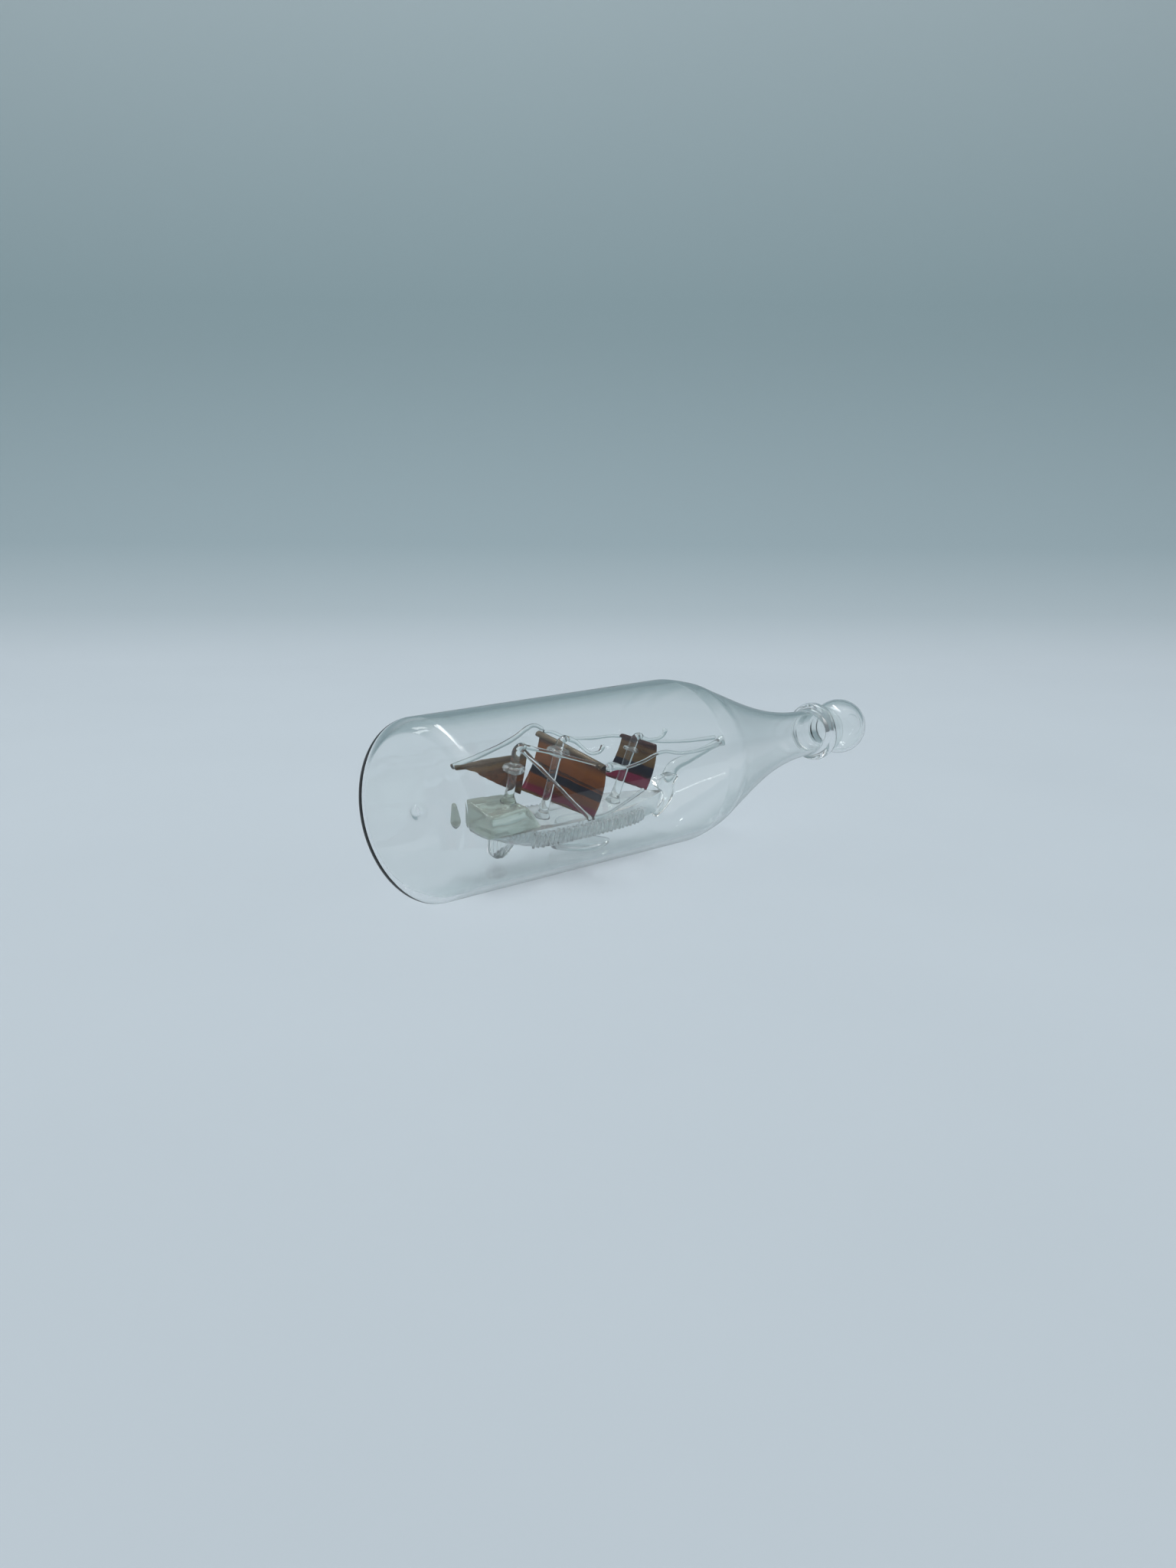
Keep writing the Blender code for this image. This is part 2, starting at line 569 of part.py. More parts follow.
class Mast:
    """One mast: where it stands, how it rakes and the ring it carries, in the ship's frame."""

    def __init__(self, name, x, rake, foot, head, top, top_radius):
        self.name = name
        self.x = x
        self.rake = rake
        self.foot = foot
        self.head = head
        self.top = top
        self.top_radius = top_radius

    def at(self, height):
        """Point on the mast's centre line."""
        return Vector((self.x + self.rake * (height - self.foot), 0.0, height))

    def hook(self, turn):
        """Point on the bent head, turned forward by this much."""
        shift = Vector((HOOK_RADIUS * (1.0 - math.cos(turn)), 0.0, HOOK_RADIUS * math.sin(turn)))
        return self.at(self.head) + shift

    def tip(self, reach):
        """Point straight ahead of the end of the hook."""
        ahead = Vector((math.sin(HOOK_TURN), 0.0, math.cos(HOOK_TURN)))
        return self.hook(HOOK_TURN) + ahead * reach

    def build(self, ship):
        """The mast with its flared foot and hooked head, and its ring."""
        flare_end = self.foot + MAST_FLARE_HEIGHT
        base = self.at(self.foot)
        stub = base + Vector((0.0, 0.0, 0.3 * MAST_FLARE_HEIGHT))
        points = [(base, MAST_FOOT_FLARE * MAST_RADIUS), (stub, 0.9 * MAST_FOOT_FLARE * MAST_RADIUS),
                  (self.at(flare_end), MAST_RADIUS), (self.at((flare_end + self.head) / 2.0), MAST_RADIUS),
                  (self.at(self.head), MAST_RADIUS)]
        for part in (0.25, 0.5, 0.75, 1.0):
            taper = 1.0 + (MAST_HEAD_TAPER - 1.0) * part
            points.append((self.hook(part * HOOK_TURN), taper * MAST_RADIUS))
        rod(self.name + "_mast", points, ship, CLEAR, per_span=2)
        self.build_top(ship)

    def build_top(self, ship):
        """The flattened ring round the mast."""
        bore = MAST_RADIUS + GAP
        thick = (self.top_radius - bore) / 2.0
        profile = []
        for i in range(8):
            angle = -2.0 * math.pi * (i + 0.5) / 8
            profile.append((TOP_HEIGHT / 2.0 * math.sin(angle), bore + thick + thick * math.cos(angle)))
        piece = turned(self.name + "_top", profile, ship, CLEAR, 16, closed=True)
        piece.location = self.at(self.top)
        piece.rotation_euler = (0.0, math.atan(self.rake), 0.0)


class SquareSail:
    """A bellied plate of amber glass hung ahead of a mast's ring."""

    def __init__(self, name, mast, head, near_lift, widths, shifts, drops, belly, foot_aft):
        self.name = name
        self.mast = mast
        self.head = head
        self.near_lift = near_lift
        self.head_width, self.foot_width = widths
        self.head_shift, self.foot_shift = shifts
        self.near_drop, self.far_drop = drops
        self.belly = belly
        self.foot_aft = foot_aft

    def place(self, u, v):
        """Point on the sail: u from the near edge to the far one, v from foot to head."""
        width = self.foot_width + (self.head_width - self.foot_width) * v
        shift = self.foot_shift + (self.head_shift - self.foot_shift) * v
        drop = self.near_drop + (self.far_drop - self.near_drop) * u
        mast = self.mast
        front = mast.at(mast.top).x + mast.top_radius + GAP + SAIL_THICKNESS / 2.0
        x = front - self.foot_aft * (1.0 - v) ** 2 + self.belly * 4.0 * v * (1.0 - v)
        z = DECK + self.head + self.near_lift * (1.0 - u) - drop * (1.0 - v)
        return Vector((x, shift + width * (u - 0.5), z))

    def corner(self, far, top, ahead):
        """Where a thread ends at a corner: behind the plate, or ahead of it."""
        reach = SAIL_THICKNESS / 2.0 + GAP + 2.0 * THREAD_RADIUS
        inward = -THREAD_RADIUS if far else THREAD_RADIUS
        point = self.place(float(far), float(top))
        return point + Vector((reach if ahead else -reach, inward, 0.0))

    def build(self, ship):
        """The curved plate."""
        shell(self.name, 8, 8, self.place, SAIL_THICKNESS, ship, AMBER)


def build_mizzen_sail(mizzen, ship):
    """The three-cornered sail beside the mizzen mast, on the far side of its ring."""
    after = mizzen.x - MIZZEN_SAIL_REACH
    fore = mizzen.x + MIZZEN_SAIL_FORWARD
    middle = (after + fore) / 2.0
    upper = (MIZZEN_SAIL_PEAK + MIZZEN_SAIL_THROAT) / 2.0
    lower = (MIZZEN_SAIL_PEAK + MIZZEN_SAIL_TACK) / 2.0
    outline = [(after, MIZZEN_SAIL_PEAK, True), (middle, lower + SAIL_THICKNESS, False),
               (fore, MIZZEN_SAIL_TACK, True), (fore, MIZZEN_SAIL_THROAT, True),
               (middle, upper + SAIL_THICKNESS, False)]
    piece = plate("mizzen_sail", outline, SAIL_THICKNESS, ship, AMBER)
    piece.location = (0.0, mizzen_sail_side(mizzen), DECK)
    piece.rotation_euler = (math.pi / 2.0, 0.0, 0.0)


def mizzen_sail_side(mizzen):
    """How far the mizzen sail stands to the far side of the mast."""
    return mizzen.top_radius + GAP + SAIL_THICKNESS / 2.0


def hung(start, end, offsets):
    """Points from start to end, each (share of the way, lift above the straight line)."""
    return [start.lerp(end, share) + Vector((0.0, 0.0, lift)) for share, lift in offsets]


def thread(name, route, ship, start_radius=THREAD_RADIUS):
    """A glass thread along a route, which may start in a bead."""
    points = [(route[0], start_radius), (route[0].lerp(route[1], 0.2), start_radius)]
    points += [(point, THREAD_RADIUS) for point in route[1:]]
    rod(name, points, ship, CLEAR)


def build_far_stay(mizzen, main_sail, ship):
    """The thick stay from the mizzen sail's tip to the main sail's far upper corner."""
    tip = Vector((mizzen.x - MIZZEN_SAIL_REACH, mizzen_sail_side(mizzen), DECK + MIZZEN_SAIL_PEAK))
    clear = FAR_STAY_RADIUS + GAP
    start = tip + Vector((-clear, 0.0, clear))
    end = main_sail.place(1.0, 1.0) + Vector((0.0, -THREAD_RADIUS, GAP + 1.6 * THREAD_RADIUS))
    route = hung(start, end, [(share, lift * FAR_STAY_LIFT) for share, lift in FAR_STAY_SHAPE])
    radii = [FAR_STAY_RADIUS] * 5 + [0.9 * FAR_STAY_RADIUS, THREAD_RADIUS]
    rod("far_stay", list(zip(route, radii)), ship, CLEAR, per_span=3)


def build_braces(main_sail, fore_sail, ship):
    """Threads from the main sail's upper corners past the fore sail to the bowsprit's eye."""
    eye = bowsprit_eye()
    for name, far, bead in (("near_brace", False, BEAD_RADIUS), ("far_brace", True, THREAD_RADIUS)):
        outward = 1.0 if far else -1.0
        start = main_sail.corner(far, True, True)
        start += Vector((main_sail.belly / 2.0, outward * bead / 2.0, -bead / 2.0))
        passing = fore_sail.place(float(far), BRACE_PASSES) + Vector((0.0, outward * BRACE_OUTREACH, 0.0))
        beside = BOWSPRIT_EYE_RADIUS + GAP + 1.2 * THREAD_RADIUS
        end = eye + Vector((-BOWSPRIT_EYE_RADIUS, outward * beside, 0.3 * BOWSPRIT_EYE_RADIUS))
        sag = -BRACE_SAG
        route = hung(start, passing, [(0.0, 0.0), (0.3, sag), (0.6, sag), (1.0, 0.0)])
        route += hung(passing, end, [(0.3, sag), (0.7, sag), (1.0, 0.0)])
        thread(name, route, ship, bead)


def build_near_threads(mizzen, main_sail, fore_sail, ship):
    """Threads on the near side: two from the mizzen mast and one between the sails' feet."""
    start = mizzen.tip(GAP + THREAD_RADIUS)
    end = main_sail.corner(False, True, False)
    thread("near_upper_stay", hung(start, end, [(0.0, 0.0), (0.5, 0.0), (1.0, 0.0)]), ship)
    beside = MAST_RADIUS + GAP + 2.0 * THREAD_RADIUS
    start = mizzen.hook(HOOK_TURN / 2.0) + Vector((0.0, -beside, -THREAD_RADIUS))
    end = main_sail.corner(False, False, False)
    thread("near_sheet", hung(start, end, [(0.0, 0.0), (0.5, 0.0), (1.0, 0.0)]), ship)
    start = main_sail.corner(False, False, True) + Vector((THREAD_RADIUS, 0.0, 0.0))
    end = fore_sail.corner(False, False, False)
    sag = -LOWER_THREAD_SAG
    thread("near_lower_thread", hung(start, end, [(0.0, 0.0), (0.2, sag), (0.6, sag), (1.0, 0.0)]), ship)


def build_pennants(main, fore, ship):
    """Streamers drawn out forward from the heads of the main and fore masts."""
    for mast, length, drop, shape in ((main, MAIN_PENNANT_LENGTH, MAIN_PENNANT_DROP, MAIN_PENNANT_SHAPE),
                                      (fore, FORE_PENNANT_LENGTH, FORE_PENNANT_DROP, FORE_PENNANT_SHAPE)):
        start = mast.tip(GAP)
        points = [(start, 1.3 * PENNANT_RADIUS)]
        for ahead, down in shape:
            points.append((start + Vector((ahead * length, 0.0, -down * drop)), PENNANT_RADIUS))
        rod(mast.name + "_pennant", points, ship, CLEAR, per_span=3)


def main():
    """Build the bottle, its stopper and the ship."""
    clear_scene()
    group = new_collection("ship_in_a_bottle")
    base_plane = -TOTAL_LENGTH / 2.0
    bottle = new_empty("bottle_axis", group, (base_plane, 0.0, BODY_RADIUS))
    stopper = new_empty("stopper_axis", group, (base_plane + BALL_CENTRE, 0.0, BODY_RADIUS))
    ship = new_empty("ship_frame", group, (base_plane + STERN_SETBACK, 0.0, BODY_RADIUS), (HEEL, 0.0, 0.0))

    build_bottle_body(bottle)
    build_bottle_base(bottle)
    build_neck_collar(bottle)
    build_ball_stopper(stopper)

    build_hull(ship)
    build_stern_castle(ship)
    build_rail("near_rail", -1.0, ship)
    build_rail("far_rail", 1.0, ship)
    build_stem_plate(ship)
    build_bowsprit(ship)
    build_mid_foot(ship)
    build_aft_foot(ship)

    mizzen = Mast("mizzen", MIZZEN_X, MIZZEN_RAKE, CASTLE_TOP + GAP,
                  DECK + MIZZEN_HEAD, DECK + MIZZEN_TOP, MIZZEN_TOP_RADIUS)
    main_mast = Mast("main", MAIN_X, MAIN_RAKE, DECK + GAP,
                     DECK + MAIN_HEAD, DECK + MAIN_TOP, MAIN_TOP_RADIUS)
    fore = Mast("fore", FORE_X, FORE_RAKE, DECK + GAP,
                DECK + FORE_HEAD, DECK + FORE_TOP, FORE_TOP_RADIUS)
    for mast in (mizzen, main_mast, fore):
        mast.build(ship)

    main_sail = SquareSail("main_sail", main_mast, MAIN_SAIL_HEAD, MAIN_SAIL_NEAR_LIFT,
                           (MAIN_SAIL_HEAD_WIDTH, MAIN_SAIL_FOOT_WIDTH),
                           (MAIN_SAIL_HEAD_SHIFT, MAIN_SAIL_FOOT_SHIFT),
                           (MAIN_SAIL_NEAR_DROP, MAIN_SAIL_FAR_DROP), MAIN_SAIL_BELLY, MAIN_SAIL_FOOT_AFT)
    fore_sail = SquareSail("fore_sail", fore, FORE_SAIL_HEAD, FORE_SAIL_NEAR_LIFT,
                           (FORE_SAIL_HEAD_WIDTH, FORE_SAIL_FOOT_WIDTH),
                           (FORE_SAIL_HEAD_SHIFT, FORE_SAIL_FOOT_SHIFT),
                           (FORE_SAIL_NEAR_DROP, FORE_SAIL_FAR_DROP), FORE_SAIL_BELLY, FORE_SAIL_FOOT_AFT)
    main_sail.build(ship)
    fore_sail.build(ship)
    build_mizzen_sail(mizzen, ship)

    build_far_stay(mizzen, main_sail, ship)
    build_braces(main_sail, fore_sail, ship)
    build_near_threads(mizzen, main_sail, fore_sail, ship)
    build_pennants(main_mast, fore, ship)


main()
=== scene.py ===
"""Looks of a lampworked glass ship in a bottle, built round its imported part.

The bottle lies along X on the floor at Z = 0, its base at -X and its ball stopper at +X.  Ship
pieces are modelled in the ship's own frame and then set in place: x runs forward from the transom,
y to the far side and z up from the bottle's axis.  All lengths are metres.
"""
import logging
import math
from dataclasses import dataclass, field
from enum import Enum
from typing import Any, Optional, Sequence, Union

import bmesh
import bpy
from mathutils import Matrix, Quaternion, Vector


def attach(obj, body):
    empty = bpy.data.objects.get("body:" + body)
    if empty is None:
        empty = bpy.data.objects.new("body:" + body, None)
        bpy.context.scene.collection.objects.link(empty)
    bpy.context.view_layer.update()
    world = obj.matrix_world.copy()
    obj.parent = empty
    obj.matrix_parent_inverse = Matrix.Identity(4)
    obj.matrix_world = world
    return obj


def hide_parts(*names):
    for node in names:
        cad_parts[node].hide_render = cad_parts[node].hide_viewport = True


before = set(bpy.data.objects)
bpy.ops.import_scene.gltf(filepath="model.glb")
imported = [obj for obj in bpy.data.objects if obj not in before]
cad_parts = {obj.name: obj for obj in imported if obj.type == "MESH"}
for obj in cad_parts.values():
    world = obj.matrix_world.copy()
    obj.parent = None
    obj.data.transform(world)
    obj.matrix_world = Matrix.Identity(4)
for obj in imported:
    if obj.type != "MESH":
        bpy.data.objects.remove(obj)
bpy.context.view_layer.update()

MM = 0.001
MERGE = 0.000002
BASE_PLANE = -87.8581 * MM
AXIS_HEIGHT = 22.0 * MM
SHIP_FRAME = (Matrix.Translation((BASE_PLANE + 20.3 * MM, 0.0, AXIS_HEIGHT))
              @ Matrix.Rotation(math.radians(13.0), 4, "X"))
BOTTLE_FRAME = Matrix.Translation((BASE_PLANE, 0.0, AXIS_HEIGHT))
DECK = -8.581 * MM

LOG = logging.getLogger("ship_in_a_bottle")

Colour = tuple[float, float, float]
Route = Sequence[tuple[Vector, float]]


class Body(Enum):
    """Bodies of the part that a piece can ride on."""

    BOTTLE = "bottle"
    STOPPER = "stopper"


class Slot(Enum):
    """Material slots of the part's record."""

    CLEAR = "clear_glass"
    GREEN = "sea_green_glass"
    AMBER = "amber_glass"


class Side(Enum):
    """Sides of the ship, as seen from the camera."""

    NEAR = -1.0
    FAR = 1.0


class Wire:
    """A shader socket that takes part in Python arithmetic."""

    def __init__(self, tree: "Tree", socket: Optional[bpy.types.NodeSocket]) -> None:
        """Keep the socket and the tree it belongs to.

        Args:
            tree: Tree that new Math nodes are added to.
            socket: Output socket that the wire comes from, or None after the last node.
        """
        self.tree = tree
        self.socket = socket

    def _math(self, operation: str, first: "Operand", second: "Operand") -> "Wire":
        """Add one Math node.

        Args:
            operation: Name of the Math node's operation.
            first: Its first value or link.
            second: Its second value or link.

        Returns:
            The node's result.
        """
        return self.tree.node("ShaderNodeMath", {"operation": operation}, {0: first, 1: second})

    def __add__(self, other: "Operand") -> "Wire":
        """Sum with a value or another wire."""
        return self._math("ADD", self, other)

    def __radd__(self, other: "Operand") -> "Wire":
        """Sum with a value on the left."""
        return self._math("ADD", other, self)

    def __sub__(self, other: "Operand") -> "Wire":
        """Difference from a value or another wire."""
        return self._math("SUBTRACT", self, other)

    def __rsub__(self, other: "Operand") -> "Wire":
        """Difference of a value on the left and this wire."""
        return self._math("SUBTRACT", other, self)

    def __mul__(self, other: "Operand") -> "Wire":
        """Product with a value or another wire."""
        return self._math("MULTIPLY", self, other)

    def __rmul__(self, other: "Operand") -> "Wire":
        """Product with a value on the left."""
        return self._math("MULTIPLY", other, self)

    def __pow__(self, other: "Operand") -> "Wire":
        """This wire raised to a power."""
        return self._math("POWER", self, other)


Operand = Union[float, Wire]
Setting = Union[str, bool, float, int, Sequence[Any]]


class Tree:
    """Node tree of one material or world, emptied and ready for new nodes."""

    def __init__(self, owner: Union[bpy.types.Material, bpy.types.World]) -> None:
        """Empty the owner's node tree.

        Args:
            owner: Material or world whose nodes are made.
        """
        owner.use_nodes = True
        self.nodes = owner.node_tree.nodes
        self.links = owner.node_tree.links
        self.nodes.clear()

    def node(self, kind: str, settings: Optional[dict[str, Setting]] = None,
             inputs: Optional[dict[Union[str, int], Any]] = None, output: Union[str, int] = 0) -> Wire:
        """Add a node.

        Args:
            kind: The node's type.
            settings: Its properties, set first; "stops" fills a colour ramp.
            inputs: Values or wires for its sockets, by name or number.
            output: Socket of the node to return.

        Returns:
            The chosen output.
        """
        made = self.nodes.new(kind)
        for key, value in (settings or {}).items():
            if key == "stops":
                self._fill_ramp(made.color_ramp, value)
            else:
                setattr(made, key, value)
        for key, value in (inputs or {}).items():
            if isinstance(value, Wire):
                self.links.new(value.socket, made.inputs[key])
            else:
                made.inputs[key].default_value = value
        return Wire(self, made.outputs[output] if made.outputs else None)

    @staticmethod
    def _fill_ramp(ramp: bpy.types.ColorRamp, stops: Sequence[tuple[float, Colour]]) -> None:
        """Set a ramp's stops.

        Args:
            ramp: Ramp to fill.
            stops: Positions with their colours, in order.
        """
        while len(ramp.elements) < len(stops):
            ramp.elements.new(1.0)
        for element, (place, colour) in zip(ramp.elements, stops):
            element.position = place
            element.color = (*colour, 1.0)

    def place(self, scale: Sequence[float] = (1.0, 1.0, 1.0)) -> Wire:
        """Object coordinates, stretched along each axis."""
        coordinates = self.node("ShaderNodeTexCoord", output="Object")
        return self.node("ShaderNodeMapping", inputs={"Vector": coordinates, "Scale": scale})

    def noise(self, scale: float, stretch: Sequence[float] = (1.0, 1.0, 1.0), detail: float = 3.0) -> Wire:
        """Smooth noise of about 0 to 1 in Object coordinates."""
        return self.node("ShaderNodeTexNoise", inputs={"Vector": self.place(stretch), "Scale": scale,
                                                       "Detail": detail})

    def blend(self, factor: Operand, first: Any, second: Any) -> Wire:
        """Mix two colours or wires of colours by a factor."""
        return self.node("ShaderNodeMix", {"data_type": "RGBA"}, {0: factor, 6: first, 7: second}, 2)


def opaque(colour: Colour) -> tuple[float, float, float, float]:
    """The colour with full alpha."""
    return (*colour, 1.0)


@dataclass(frozen=True)
class Glass:
    """Clear drawn glass: nearly colourless, with faint draw lines and cloudy patches, and painted shade
    towards its outline.

    Attributes:
        name: Name of the material.
        slot: Slot of the record that the finish belongs to.
        tint: Colour of the glass.
        streak: Colour of its faint streaks.
        streak_scale: How fine the streaks are, per metre.
        smooth: Roughness where the surface is cleanest.
        dull: Roughness where it is most handled.
        ripple: Height of the draw lines.
        lines: Stretch of the draw lines along each axis.
        transmission: How much light passes into the glass.
        ior: Index of refraction.
        edge: Colour of the painted shade towards the glass's outline, where it is seen edge on.
        edge_shade_from: How far towards the outline that painted shade begins.
    """

    name: str
    slot: Slot
    tint: Colour
    streak: Colour
    streak_scale: float = 220.0
    smooth: float = 0.0
    dull: float = 0.03
    ripple: float = 0.00004
    lines: tuple[float, float, float] = (0.25, 1.0, 1.0)
    transmission: float = 1.0
    ior: float = 1.47
    edge: Colour = (0.30, 0.37, 0.37)
    edge_shade_from: float = 0.45

    def make(self) -> bpy.types.Material:
        """Build the finish's material, or find it where a piece already has it."""
        found = bpy.data.materials.get(self.name)
        if found:
            return found
        material = bpy.data.materials.new(self.name)
        tree = Tree(material)
        shader = tree.node("ShaderNodeBsdfPrincipled", inputs={
            "Base Color": self.colour(tree), "Roughness": self.roughness(tree), "Normal": self.normal(tree),
            "Metallic": self.metal(tree), "Transmission Weight": self.transmission, "IOR": self.ior})
        tree.node("ShaderNodeOutputMaterial", inputs={"Surface": shader})
        return material

    def colour(self, tree: Tree) -> Wire:
        """Streaks of a second tint drawn out along the glass, darkened towards the outline by painted shade.
        """
        share = tree.noise(self.streak_scale, self.lines)
        body = tree.blend(share, opaque(self.tint), opaque(self.streak))
        # Painted shade: the colour darkens where the glass is seen edge on, standing in for dark surroundings
        # at its outline.
        facing = tree.node("ShaderNodeLayerWeight", inputs={"Blend": 0.5}, output="Facing")
        painted_edge_shade = tree.node("ShaderNodeMapRange", {"interpolation_type": "SMOOTHSTEP"}, {
            "Value": facing, "From Min": self.edge_shade_from, "From Max": 1.0})
        return tree.blend(painted_edge_shade, body, opaque(self.edge))

    def roughness(self, tree: Tree) -> Wire:
        """Cleaner and duller patches, as handled glass has."""
        patches = tree.noise(60.0, detail=4.0)
        return self.smooth + (self.dull - self.smooth) * patches ** 2.0

    def metal(self, tree: Tree) -> Operand:
        """Share of a metallic lustre."""
        return 0.0

    def normal(self, tree: Tree) -> Wire:
        """Shallow draw lines over a slower waviness."""
        height = tree.noise(150.0, self.lines, 2.0) + 0.3 * tree.noise(700.0, self.lines, 1.0)
        return tree.node("ShaderNodeBump", inputs={
            "Height": height, "Strength": 0.25, "Distance": self.ripple})


@dataclass(frozen=True)
class LustreGlass(Glass):
    """Dark amber glass with bands of a violet lustre across each sail, some of them painted light: dark navy
    bands are painted reflection, and a rolled head carries a painted highlight above a line of painted shade.

    Attributes:
        bands: Places up the sail with their colours.
        heights: Heights that the bands run between, or None where they follow the sail's own map.
        wander: How far the bands wander up and down.
        lustre: Metallic share of the surface.
    """

    slot: Slot = Slot.AMBER
    tint: Colour = (0.36, 0.16, 0.06)
    streak: Colour = (0.06, 0.025, 0.02)
    streak_scale: float = 160.0
    smooth: float = 0.01
    dull: float = 0.05
    ripple: float = 0.00008
    transmission: float = 0.45
    ior: float = 1.22
    bands: tuple[tuple[float, Colour], ...] = ()
    heights: Optional[tuple[float, float]] = None
    wander: float = 0.07
    lustre: float = 0.05

    def colour(self, tree: Tree) -> Wire:
        """Bands that follow the sail's own height, bent by noise."""
        if self.heights is None:
            uv = tree.node("ShaderNodeTexCoord", output="UV")
            up = tree.node("ShaderNodeSeparateXYZ", inputs={0: uv}, output="Y")
        else:
            height = tree.node("ShaderNodeSeparateXYZ", inputs={0: tree.place()}, output="Z")
            up = tree.node("ShaderNodeMapRange", inputs={
                "Value": height, "From Min": self.heights[0], "From Max": self.heights[1]})
        bent = up + self.wander * (tree.noise(120.0, detail=3.0) - 0.5)
        # Among the bands are painted reflection, painted highlight and painted shade, noted with each sail's
        # colours.
        banded = tree.node("ShaderNodeValToRGB", {"stops": self.bands}, {"Fac": bent})
        cloud = tree.node("ShaderNodeMapRange", inputs={
            "Value": tree.noise(330.0, (1.0, 0.35, 1.0), 4.0), "From Min": 0.5, "From Max": 0.75})
        return tree.blend(0.55 * cloud, banded, opaque(self.streak))

    def metal(self, tree: Tree) -> Operand:
        """The lustre, thinner in patches."""
        return self.lustre * (0.6 + 0.8 * tree.noise(90.0))


@dataclass(frozen=True)
class Matt:
    """Plain matt finish of the floor and its backdrop.

    Attributes:
        name: Name of the material.
        floor: Colour of the floor.
        backdrop: Heights up the backdrop, as shares of the rise, with their colours.
        rise: Height over which the backdrop's colours run.
        glow: Share of the surface that shows its own colour, free of shadow; glass mirrors it dimmed.
        grain: Colour of its faint grain.
        grain_share: Greatest share of the grain.
        roughness: Roughness of the surface.
        mirrored: Dark colour painted into its mirror image in glass, as painted shade in reflections.
        dimming: Share of that painted shade in a mirror image.
    """

    name: str
    floor: Colour
    backdrop: tuple[tuple[float, Colour], ...]
    rise: float
    glow: float
    grain: Colour = (0.3, 0.36, 0.4)
    grain_share: float = 0.16
    roughness: float = 0.75
    mirrored: Colour = (0.08, 0.095, 0.105)
    dimming: float = 0.45

    def make(self) -> bpy.types.Material:
        """Build the material."""
        material = bpy.data.materials.new(self.name)
        tree = Tree(material)
        height = tree.node("ShaderNodeSeparateXYZ", inputs={0: tree.place()}, output="Z")
        share = tree.node("ShaderNodeMapRange", inputs={"Value": height, "From Max": self.rise})
        stops = ((0.0, self.floor),) + self.backdrop
        colour = tree.node("ShaderNodeValToRGB", {"stops": stops}, {"Fac": share})
        grain = tree.noise(9.0, detail=5.0)
        shade = tree.blend(self.grain_share * grain, colour, opaque(self.grain))
        shader = tree.node("ShaderNodeBsdfPrincipled", inputs={
            "Base Color": shade, "Roughness": self.roughness, "Specular IOR Level": 0.2})
        camera, mirrored, through = [tree.node("ShaderNodeLightPath", output=f"Is {kind} Ray")
                                     for kind in ("Camera", "Glossy", "Transmission")]
        mirrored = mirrored * (1.0 - through)
        # Painted reflection: glossy rays see the floor darkened towards a fixed dark colour.
        dimmed = tree.blend(self.dimming * mirrored, shade, opaque(self.mirrored))
        own = tree.node("ShaderNodeEmission", inputs={"Color": dimmed, "Strength": 1.0})
        direct = tree.node("ShaderNodeMath", {"operation": "MAXIMUM"}, {0: camera, 1: through})
        mixed = tree.node("ShaderNodeMixShader", inputs={0: self.glow * direct + mirrored, 1: shader, 2: own})
        tree.node("ShaderNodeOutputMaterial", inputs={"Surface": mixed})
        return material


# Each finish's edge colour is painted shade at its outline.
BOTTLE_GLASS = Glass("bottle_clear", Slot.CLEAR, (0.985, 0.995, 0.99), (0.97, 0.985, 0.98),
                     edge=(0.62, 0.72, 0.70), edge_shade_from=0.5)
CLEAR_GLASS = Glass("ship_clear", Slot.CLEAR, (0.97, 0.985, 0.98), (0.94, 0.965, 0.955), ripple=0.00006)
MILKY_GLASS = Glass("ship_milky", Slot.CLEAR, (0.97, 0.985, 0.98), (0.90, 0.94, 0.93), 500.0, 0.01, 0.08,
                    0.0004, (0.6, 1.0, 0.3), 0.85, edge=(0.90, 0.94, 0.93), edge_shade_from=0.5)
CRIMPED_GLASS = Glass("ship_crimped", Slot.CLEAR, (0.99, 0.995, 0.99), (0.92, 0.95, 0.945), 900.0, 0.0, 0.03,
                      0.0004, (1.0, 1.0, 0.25), 0.93, edge=(0.90, 0.95, 0.94), edge_shade_from=0.55)
RING_GLASS = Glass("ship_rings", Slot.CLEAR, (0.98, 0.99, 0.985), (0.90, 0.93, 0.92), 500.0, 0.0, 0.03,
                   0.0003, (1.0, 1.0, 1.0), 0.9, edge=(0.50, 0.57, 0.56))
GREEN_GLASS = Glass("sea_green", Slot.GREEN, (0.93, 0.99, 0.91), (0.68, 0.79, 0.68), 420.0, 0.02, 0.08,
                    0.0005, (0.12, 1.0, 1.0), 0.8, edge=(0.88, 0.95, 0.87))
STOPPER_GLASS = Glass("stopper_clear", Slot.CLEAR, (0.985, 0.995, 0.99), (0.97, 0.985, 0.98), ior=1.33,
                      edge=(0.88, 0.92, 0.91), edge_shade_from=0.5)
